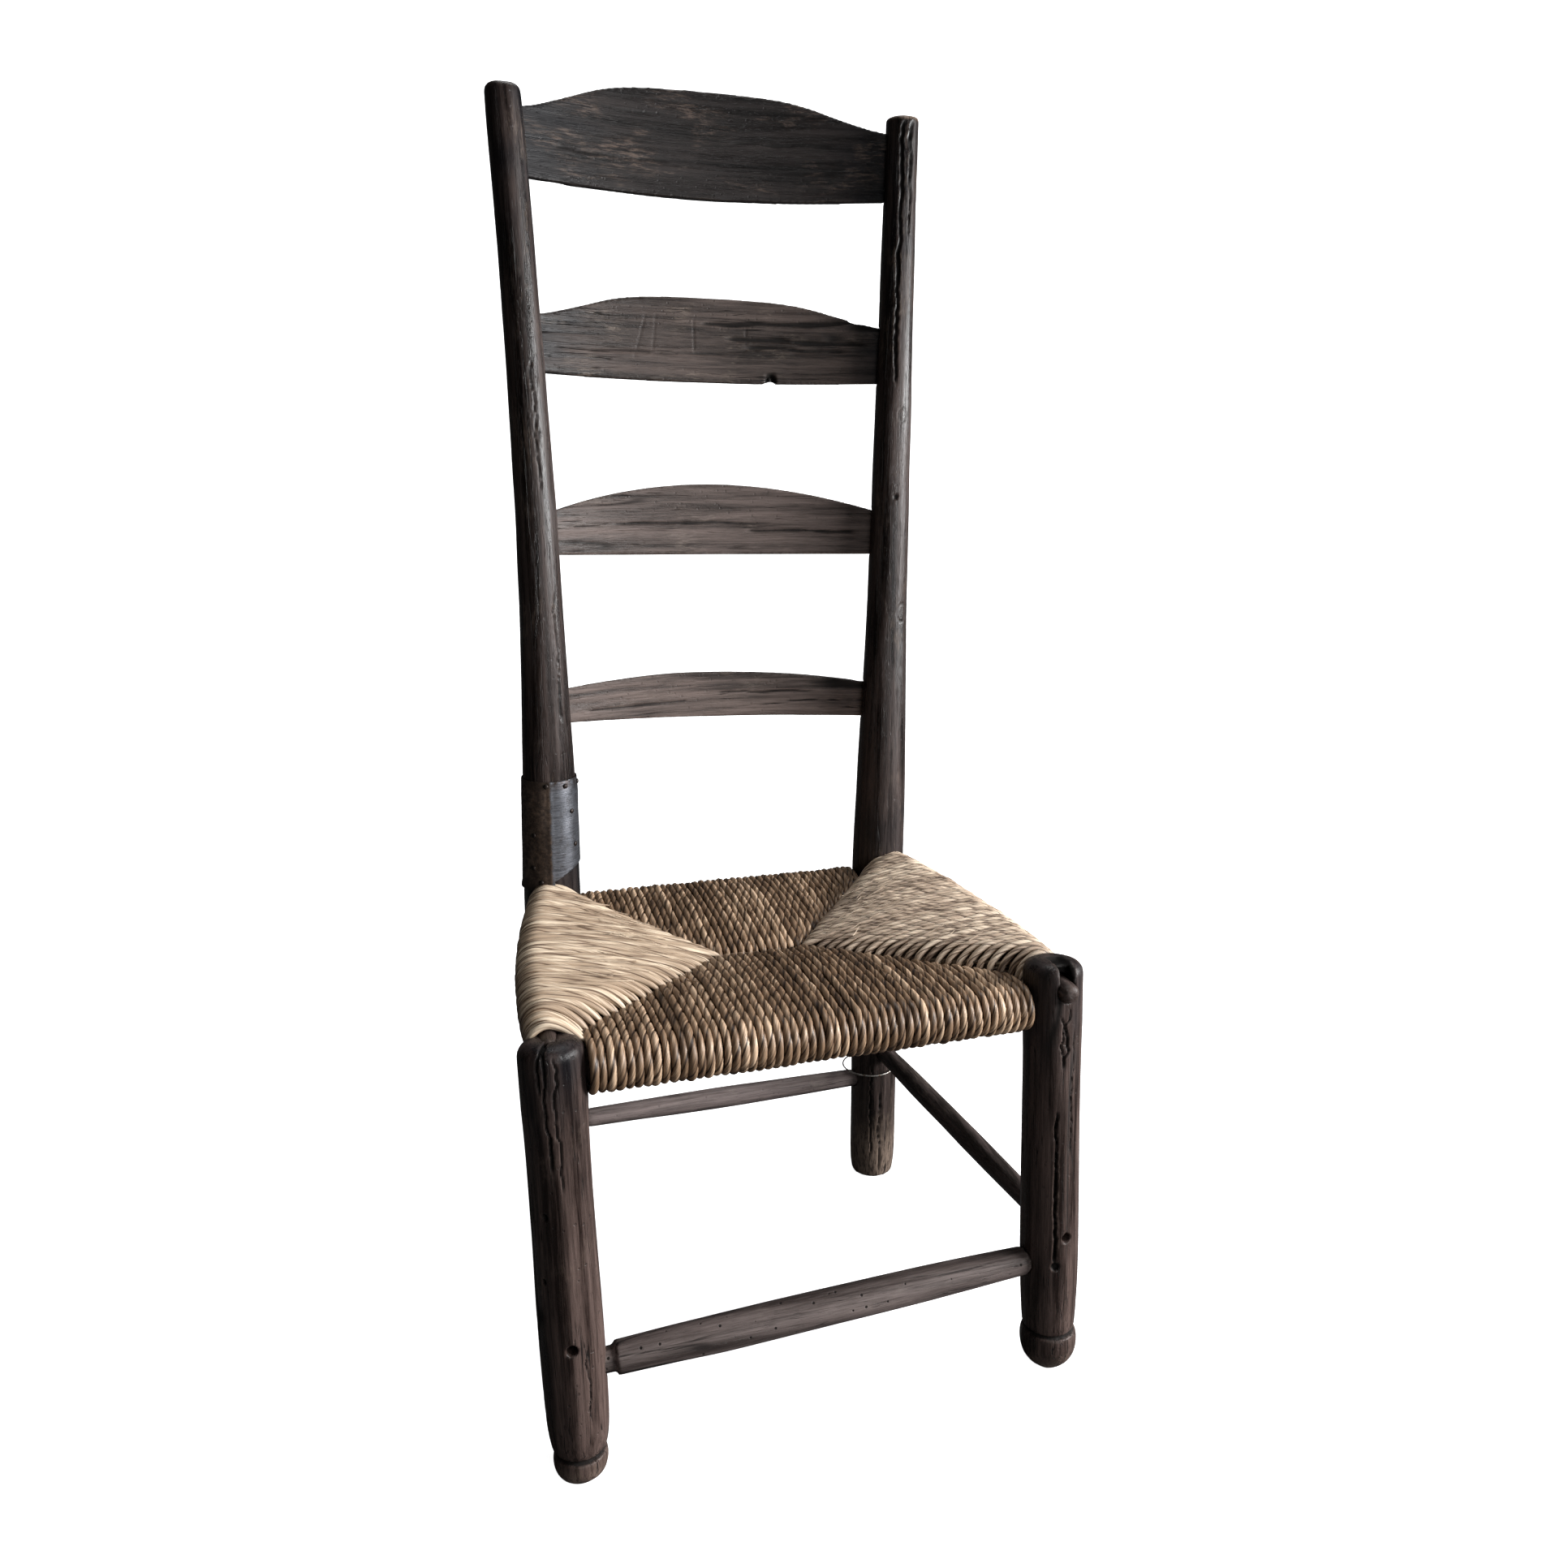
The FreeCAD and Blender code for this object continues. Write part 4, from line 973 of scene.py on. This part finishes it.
def side_turns(side):
    """The turns over a side rail. Those past the front corner sink against the leg."""
    tip = left_tip if side < 0 else right_tip
    front, rear = corner_of(side, "front"), corner_of(side, "rear")
    pitch = (rear[1] - front[1]) / side_cord_count
    radius = pitch / 2
    turns = []
    for k in range(-extra_cords, side_cord_count + 1):
        y = front[1] + pitch * (k + 0.5)
        rail = side_rail_point(side, y)
        end = "front" if y < tip[1] else "rear"
        corner = front if end == "front" else rear
        past = max(0.0, front[1] - y) / pitch
        held_y = min(max(y, front[1]), rear[1])
        reach = corner[0] + (tip[0] - corner[0]) * (held_y - corner[1]) / (tip[1] - corner[1])
        share = (reach - rail[0]) / (tip[0] - rail[0])
        over = -1.0 if (side > 0 and end == "front") else 1.0
        wrap = thin_rail_radius + rail_clearance + radius
        top = rail[1] + wrap
        meet = top + (middle_top - top) * share - cross_height(end, y) - over * 1.6
        path = turn_path((rail[0], rail[1] - 1.2 * past), wrap - 0.6 * past, reach, share, side)
        bend = -4.5 if end == "front" else 0.8
        turns.append((
            path, lambda x, z, y=y: (x, y, z), (0, 1, 0), bend, max(meet, 0.0), over, (-side, 0, 0),
        ))
    return turns, radius


def cord_tree(name):
    """Geometry nodes that sweep a twisted bundle of leaves along lines."""
    tree = node_group(name, {
        "Lines": "Geometry", "Points Round": 12, "Plies": 2, "Ply Depth": 0.14, "Finish": "Material",
    }, {"Cords": "Geometry"}, "GeometryNodeTree")
    g = Nodes(tree)
    given = g.add("NodeGroupInput").outputs
    curve = g.add("GeometryNodeMeshToCurve", Mesh=given["Lines"]).outputs[0]
    curve = g.add("GeometryNodeSetCurveTilt", Curve=curve, Tilt=g.named("turn")).outputs[0]
    curve = g.add("GeometryNodeSetCurveRadius", Curve=curve, Radius=g.named("thick")).outputs[0]
    ring = g.add("GeometryNodeCurvePrimitiveCircle", Resolution=given["Points Round"]).outputs["Curve"]
    place = g.add("GeometryNodeInputPosition").outputs[0]
    ring = g.add(
        "GeometryNodeStoreNamedAttribute", {"data_type": "FLOAT_VECTOR"},
        Geometry=ring, Name="round", Value=place,
    ).outputs[0]
    parts = g.add("ShaderNodeSeparateXYZ", Vector=place).outputs
    angle = g.math("ARCTAN2", parts[1], parts[0])
    fold = g.math("ABSOLUTE", g.math("COSINE", g.times(g.times(angle, given["Plies"]), 0.5)))
    bulge = g.between(fold, 0.0, 0.55)
    # crest is 1 on the plies' crowns and 0 in the grooves between them; the rush material uses it for painted
    # light on the crowns and painted shade in the grooves.
    ring = g.add(
        "GeometryNodeStoreNamedAttribute", {"data_type": "FLOAT"}, Geometry=ring, Name="crest", Value=bulge,
    ).outputs[0]
    size = g.minus(1.06, g.times(g.minus(1, bulge), given["Ply Depth"]))
    scaled = g.add("ShaderNodeVectorMath", {"operation": "SCALE"})
    g.tree.links.new(place, scaled.inputs[0])
    g.tree.links.new(size, scaled.inputs["Scale"])
    ring = g.add("GeometryNodeSetPosition", Geometry=ring, Position=scaled.outputs[0]).outputs[0]
    swept = g.add(
        "GeometryNodeCurveToMesh", Curve=curve, Profile_Curve=ring, Scale=g.named("thick"), Fill_Caps=True,
    ).outputs[0]
    smooth = g.add("GeometryNodeSetShadeSmooth", Geometry=swept).outputs[0]
    real = g.add("GeometryNodeRealizeInstances", Geometry=smooth).outputs[0]
    dressed = g.add("GeometryNodeSetMaterial", Geometry=real, Material=given["Finish"]).outputs[0]
    g.add("NodeGroupOutput", Cords=dressed)
    return tree


def grown(name, mesh, tree, inputs):
    """Runs a geometry tree on a mesh and keeps the result as a plain mesh."""
    piece = new_object(name, mesh)
    modifier = piece.modifiers.new("grow", "NODES")
    modifier.node_group = tree
    for item in tree.interface.items_tree:
        if item.item_type == "SOCKET" and item.name in inputs:
            modifier[item.identifier] = inputs[item.name]
    return made_plain(piece)


twisted_leaf = node_group("twisted_leaf", {
    "Deep": (0.03, 0.018, 0.008, 1), "Middle": (0.16, 0.1, 0.055, 1), "Pale": (0.45, 0.33, 0.2, 1),
    "Variation": 1.0, "Lightness": 0.0, "Streak Rate": 1.0, "Polish": 0.0,
}, {"Color": "Color", "Roughness": "Float", "Height": "Float"})
r = Nodes(twisted_leaf)
given = r.add("NodeGroupInput").outputs
round_way = r.add("ShaderNodeSeparateXYZ", Vector=r.attribute("round", "Vector")).outputs
tone = r.attribute("tone")
along = r.times(r.attribute("along"), given["Streak Rate"])


def leaf_noise(around, length, offset, detail=3.0):
    vector = r.add(
        "ShaderNodeCombineXYZ", X=r.times(round_way[0], around),
        Y=r.plus(r.times(round_way[1], around), r.times(tone, 91.7)),
        Z=r.plus(r.times(along, length), offset),
    ).outputs[0]
    return r.noise(vector, 1.0, detail, 0.6)


fibre = leaf_noise(7.5, 55.0, 0.0, 4.0)
leaf = leaf_noise(1.6, 34.0, 5.0)
stain = leaf_noise(0.4, 16.0, 9.0)
crest = r.attribute("crest")
area = r.noise(r.add("ShaderNodeTexCoord").outputs["Object"], 28.0, 3)
level = r.plus(r.swing(leaf, 1.9), given["Lightness"])
for part, amount in ((fibre, 1.3), (stain, 1.1), (tone, 0.6), (area, 0.8)):
    level = r.plus(level, r.swing(part, amount))
# Painted light and shade: the plies' crowns are made lighter and their grooves darker.
level = r.plus(r.times(level, given["Variation"]), r.swing(crest, 0.35, 0.6))
colour = r.mix(r.between(level, 0.05, 0.75), given["Middle"], given["Pale"])
colour = r.mix(r.between(level, -0.05, -0.75), colour, given["Deep"])
# Painted shade: the grooves between the plies are darkened towards the Deep colour.
colour = r.mix(r.between(crest, 0.5, 0.08), colour, given["Deep"])
rough = r.minus(r.between(leaf, 0.3, 0.7, 0.64, 0.44), r.times(given["Polish"], 0.16))
height = r.plus(r.times(fibre, 0.8), r.times(leaf, 0.5))
r.add("NodeGroupOutput", Color=colour, Roughness=rough, Height=height)


def rush(name, deep, middle, pale, variation, lightness, streak_rate, polish):
    return group_finish(name, twisted_leaf, {
        "Deep": deep, "Middle": middle, "Pale": pale, "Variation": variation, "Lightness": lightness,
        "Streak Rate": streak_rate, "Polish": polish,
    }, 0.6, 0.0006, 0.5)


dark_rush = rush(
    "dark_rush", (0.03, 0.016, 0.009), (0.24, 0.15, 0.09), (0.7, 0.5, 0.34), 1.25, 0.0, 0.8, 1.0,
)
straw_rush = rush(
    "straw_rush", (0.13, 0.078, 0.045), (0.47, 0.345, 0.24), (0.84, 0.69, 0.52), 1.2, 0.05, 0.35, 0.4,
)
sand_rush = rush(
    "sand_rush", (0.1, 0.06, 0.037), (0.5, 0.375, 0.275), (0.9, 0.74, 0.57), 1.5, 0.0, 0.6, 0.7,
)
tree = cord_tree("twisted_cords")
for name, node, (turns, radius), finish, slot, seed, plies, depth, twist, wisps in (
    ("front_cords", "seat_cords_front", cross_turns("front"), dark_rush, "rush", 101, 2, 0.21, 40.0, 30),
    ("rear_cords", "seat_cords_rear", cross_turns("rear"), dark_rush, "rush", 103, 2, 0.21, 40.0, 15),
    ("left_cords", "seat_cords_left", side_turns(-1), straw_rush, "pale_rush", 107, 2, 0.15, 95.0, 60),
    ("right_cords", "seat_cords_right", side_turns(1), sand_rush, "pale_rush", 109, 2, 0.22, 32.0, 70),
):
    lines = cord_lines(turns, radius, seed, twist, wisps)
    inputs = {"Points Round": 12, "Plies": plies, "Ply Depth": depth, "Finish": finish}
    hand_over(grown(name, lines, tree, inputs), node)

# Wire: a loose loop of bright wire left round the right rear post below the seat.
wire_low, wire_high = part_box("wire_tie")
wire_middle = (wire_low + wire_high) / 2
wire_thickness = 0.0007
loop_count = 72
loop = bpy.data.meshes.new("wire_line")
loop_points = []
for k in range(loop_count + 3):
    angle = math.radians(-60) + 2 * math.pi * k / loop_count
    rise = 0.0012 * math.sin(2 * angle + 1) + 0.0016 * k / loop_count
    loop_points.append((
        wire_middle.x + ((wire_high.x - wire_low.x) / 2 - wire_thickness) * math.cos(angle),
        wire_middle.y + ((wire_high.y - wire_low.y) / 2 - wire_thickness) * math.sin(angle),
        wire_middle.z + (wire_high.z - wire_low.z) * 0.5 * math.cos(angle) + rise,
    ))
loop.from_pydata(loop_points, [(k, k + 1) for k in range(len(loop_points) - 1)], [])
for key, value in (("thick", wire_thickness), ("turn", 0.0)):
    keep_attribute(loop, key, np.full(len(loop_points), value))
bright_wire, m, shader = new_finish("bright_wire")
tarnish = m.noise(m.add("ShaderNodeTexCoord").outputs["Object"], 300.0, 4)
worn = m.between(tarnish, 0.45, 0.7)
m.set(shader, "Base Color", m.mix(worn, (0.6, 0.58, 0.55, 1), (0.16, 0.1, 0.06, 1)))
m.set(shader, "Roughness", m.between(tarnish, 0.4, 0.7, 0.3, 0.7))
shader.inputs["Metallic"].default_value = 0.9
wire = grown("wire", loop, tree, {"Points Round": 10, "Plies": 1, "Ply Depth": 0.0, "Finish": bright_wire})
hand_over(wire, "wire_tie")

# Sheet-iron repair: a thin sheet wrapped round the left post over a break and creased down its
# front. It is brown and dull left of the crease, bare and blue-grey right of it, and tacked down.
sleeve_low, sleeve_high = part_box("repair_sleeve")
crease_direction = math.radians(-96)
wrapped_radius = 0.0255
sleeve_mesh = joined_mesh("repair_sleeve", 0.0035)
points = read_points(sleeve_mesh)
centre_x, centre_y = post_centre(-1, points[:, 2])
around = np.arctan2(points[:, 1] - centre_y, points[:, 0] - centre_x)
arc = (around - crease_direction) * wrapped_radius
place = np.column_stack((arc, np.zeros_like(arc), points[:, 2]))
dents = 0.0005 + 0.0005 * lattice_noise(place * (70, 1, 55) + 3, 211)
dents += 0.0007 * fade(np.abs(arc), 0.0035, 0.0)
frayed = fade(lattice_noise(place * 60 + 9, 212), 0.1, 0.6)
dents += 0.0012 * fade(points[:, 2], sleeve_low.z + 0.02, sleeve_low.z) * frayed
points[:, 0] += np.cos(around) * dents
points[:, 1] += np.sin(around) * dents
write_points(sleeve_mesh, points)
keep_attribute(sleeve_mesh, "place", place)
rim = np.minimum(points[:, 2] - sleeve_low.z, sleeve_high.z - points[:, 2])
keep_attribute(sleeve_mesh, "rim", fade(rim, 0.012, 0.0))
sleeve_mesh.shade_smooth()
sleeve_mesh.set_sharp_from_angle(angle=0.7)
sheet, m, shader = new_finish("old_sheet_iron")
spot = m.attribute("place", "Vector")
side_arc = m.add("ShaderNodeSeparateXYZ", Vector=spot).outputs[0]
wander = m.noise(spot, 90.0, 4)
bare = m.between(m.plus(side_arc, m.swing(wander, 0.004)), -0.0006, 0.0012)
rolled = m.noise(m.stretched(spot, (0.05, 1, 1)), 1500, 4, 0.6)
blotch = m.noise(spot, 150.0, 5, 0.7)
speck = m.between(m.noise(spot, 700.0, 3), 0.62, 0.68)
brown = m.mix(m.between(blotch, 0.4, 0.65), (0.04, 0.026, 0.019, 1), (0.13, 0.09, 0.066, 1))
steel = m.mix(m.between(rolled, 0.35, 0.65), (0.062, 0.065, 0.074, 1), (0.14, 0.146, 0.165, 1))
steel = m.mix(m.times(m.between(blotch, 0.5, 0.7), 0.6), steel, (0.06, 0.055, 0.055, 1))
metal = m.mix(bare, brown, steel)
metal = m.mix(m.times(speck, 0.7), metal, (0.012, 0.008, 0.006, 1))
rust = m.times(m.attribute("rim"), m.between(blotch, 0.35, 0.6))
m.set(shader, "Base Color", m.mix(rust, metal, (0.03, 0.018, 0.012, 1)))
m.set(shader, "Metallic", m.times(bare, 0.75))
m.set(shader, "Roughness", m.minus(m.between(blotch, 0.3, 0.7, 0.62, 0.5), m.times(bare, 0.12)))
m.set(shader, "Normal", m.add("ShaderNodeBump", Strength=0.4, Distance=0.0005, Height=rolled).outputs[0])
sleeve_mesh.materials.append(sheet)
hand_over(new_object("iron_sleeve", sleeve_mesh), "repair_sleeve")

# The tacks' domed heads are set on the sheet, each turned to face straight out from the post.
tack_places = (
    (150, 0.95), (198, 0.93), (257, 0.96), (298, 0.95), (345, 0.95),
    (312, 0.71), (319, 0.4), (228, 0.51), (226, 0.21), (243, 0.08),
)
tack_foot, tack_span, post_taper, head_rise, head_radius = 0.35, 0.101, 0.0175, 0.0018, 0.0023
tack_points, tack_ways = [], []
for direction, share in tack_places:
    height = tack_foot + tack_span * share
    x, y = post_centre(-1, np.array(height))
    way = (math.cos(math.radians(direction)), math.sin(math.radians(direction)), 0)
    radius = wrapped_radius - post_taper * (height - 0.348) + head_rise
    tack_points.append((float(x) + way[0] * radius, float(y) + way[1] * radius, height))
    tack_ways.append(way)
tack_mesh = bpy.data.meshes.new("tack_points")
tack_mesh.from_pydata(tack_points, [], [])
keep_attribute(tack_mesh, "way", np.array(tack_ways))
tack_tree = node_group("domed_tacks", {
    "Places": "Geometry", "Finish": "Material",
}, {"Tacks": "Geometry"}, "GeometryNodeTree")
g = Nodes(tack_tree)
given = g.add("NodeGroupInput").outputs
head = g.add("GeometryNodeMeshUVSphere", Segments=20, Rings=12, Radius=head_radius).outputs[0]
head = g.add("GeometryNodeTransform", Geometry=head, Scale=(1, 1, 0.56)).outputs[0]
way = g.named("way", "FLOAT_VECTOR")
turned = g.add("FunctionNodeAlignRotationToVector", {"axis": "Z"}, Vector=way).outputs[0]
placed = g.add(
    "GeometryNodeInstanceOnPoints", Points=given["Places"], Instance=head, Rotation=turned,
).outputs[0]
real = g.add("GeometryNodeRealizeInstances", Geometry=placed).outputs[0]
smooth = g.add("GeometryNodeSetShadeSmooth", Geometry=real).outputs[0]
dressed = g.add("GeometryNodeSetMaterial", Geometry=smooth, Material=given["Finish"]).outputs[0]
g.add("NodeGroupOutput", Tacks=dressed)
black_iron, m, shader = new_finish("black_iron")
scale_marks = m.noise(m.add("ShaderNodeTexCoord").outputs["Object"], 900.0, 4)
m.set(shader, "Base Color", m.mix(scale_marks, (0.008, 0.007, 0.007, 1), (0.06, 0.045, 0.04, 1)))
m.set(shader, "Roughness", m.between(scale_marks, 0.3, 0.7, 0.35, 0.6))
shader.inputs["Metallic"].default_value = 0.7
tacks = grown("iron_tacks", tack_mesh, tack_tree, {"Finish": black_iron})
hand_over(tacks, "repair_tacks")

# Stuffing: broken straw packed between the layers, seen only as dark gaps between the cords.
stuffing = even_mesh("straw_core", "seat_stuffing", 0.004)
points = read_points(stuffing.data)
points += read_normals(stuffing.data) * (0.0008 * lattice_noise(points * 90, 5) - 0.0008)[:, None]
write_points(stuffing.data, points)
stuffing.data.shade_smooth()
core, m, shader = new_finish("packed_straw")
place = m.add("ShaderNodeTexCoord").outputs["Object"]
chaff = m.noise(m.stretched(place, (0.15, 1, 1)), 700, 5, 0.7)
pale = m.between(chaff, 0.35, 0.7)
m.set(shader, "Base Color", m.mix(pale, (0.03, 0.02, 0.012, 1), (0.16, 0.11, 0.06, 1)))
m.set(shader, "Roughness", m.between(chaff, 0.3, 0.7, 0.9, 0.7))
m.set(shader, "Normal", m.add("ShaderNodeBump", Strength=0.8, Distance=0.001, Height=chaff).outputs[0])
stuffing.data.materials.clear()
stuffing.data.materials.append(core)
hand_over(stuffing, "seat_stuffing")
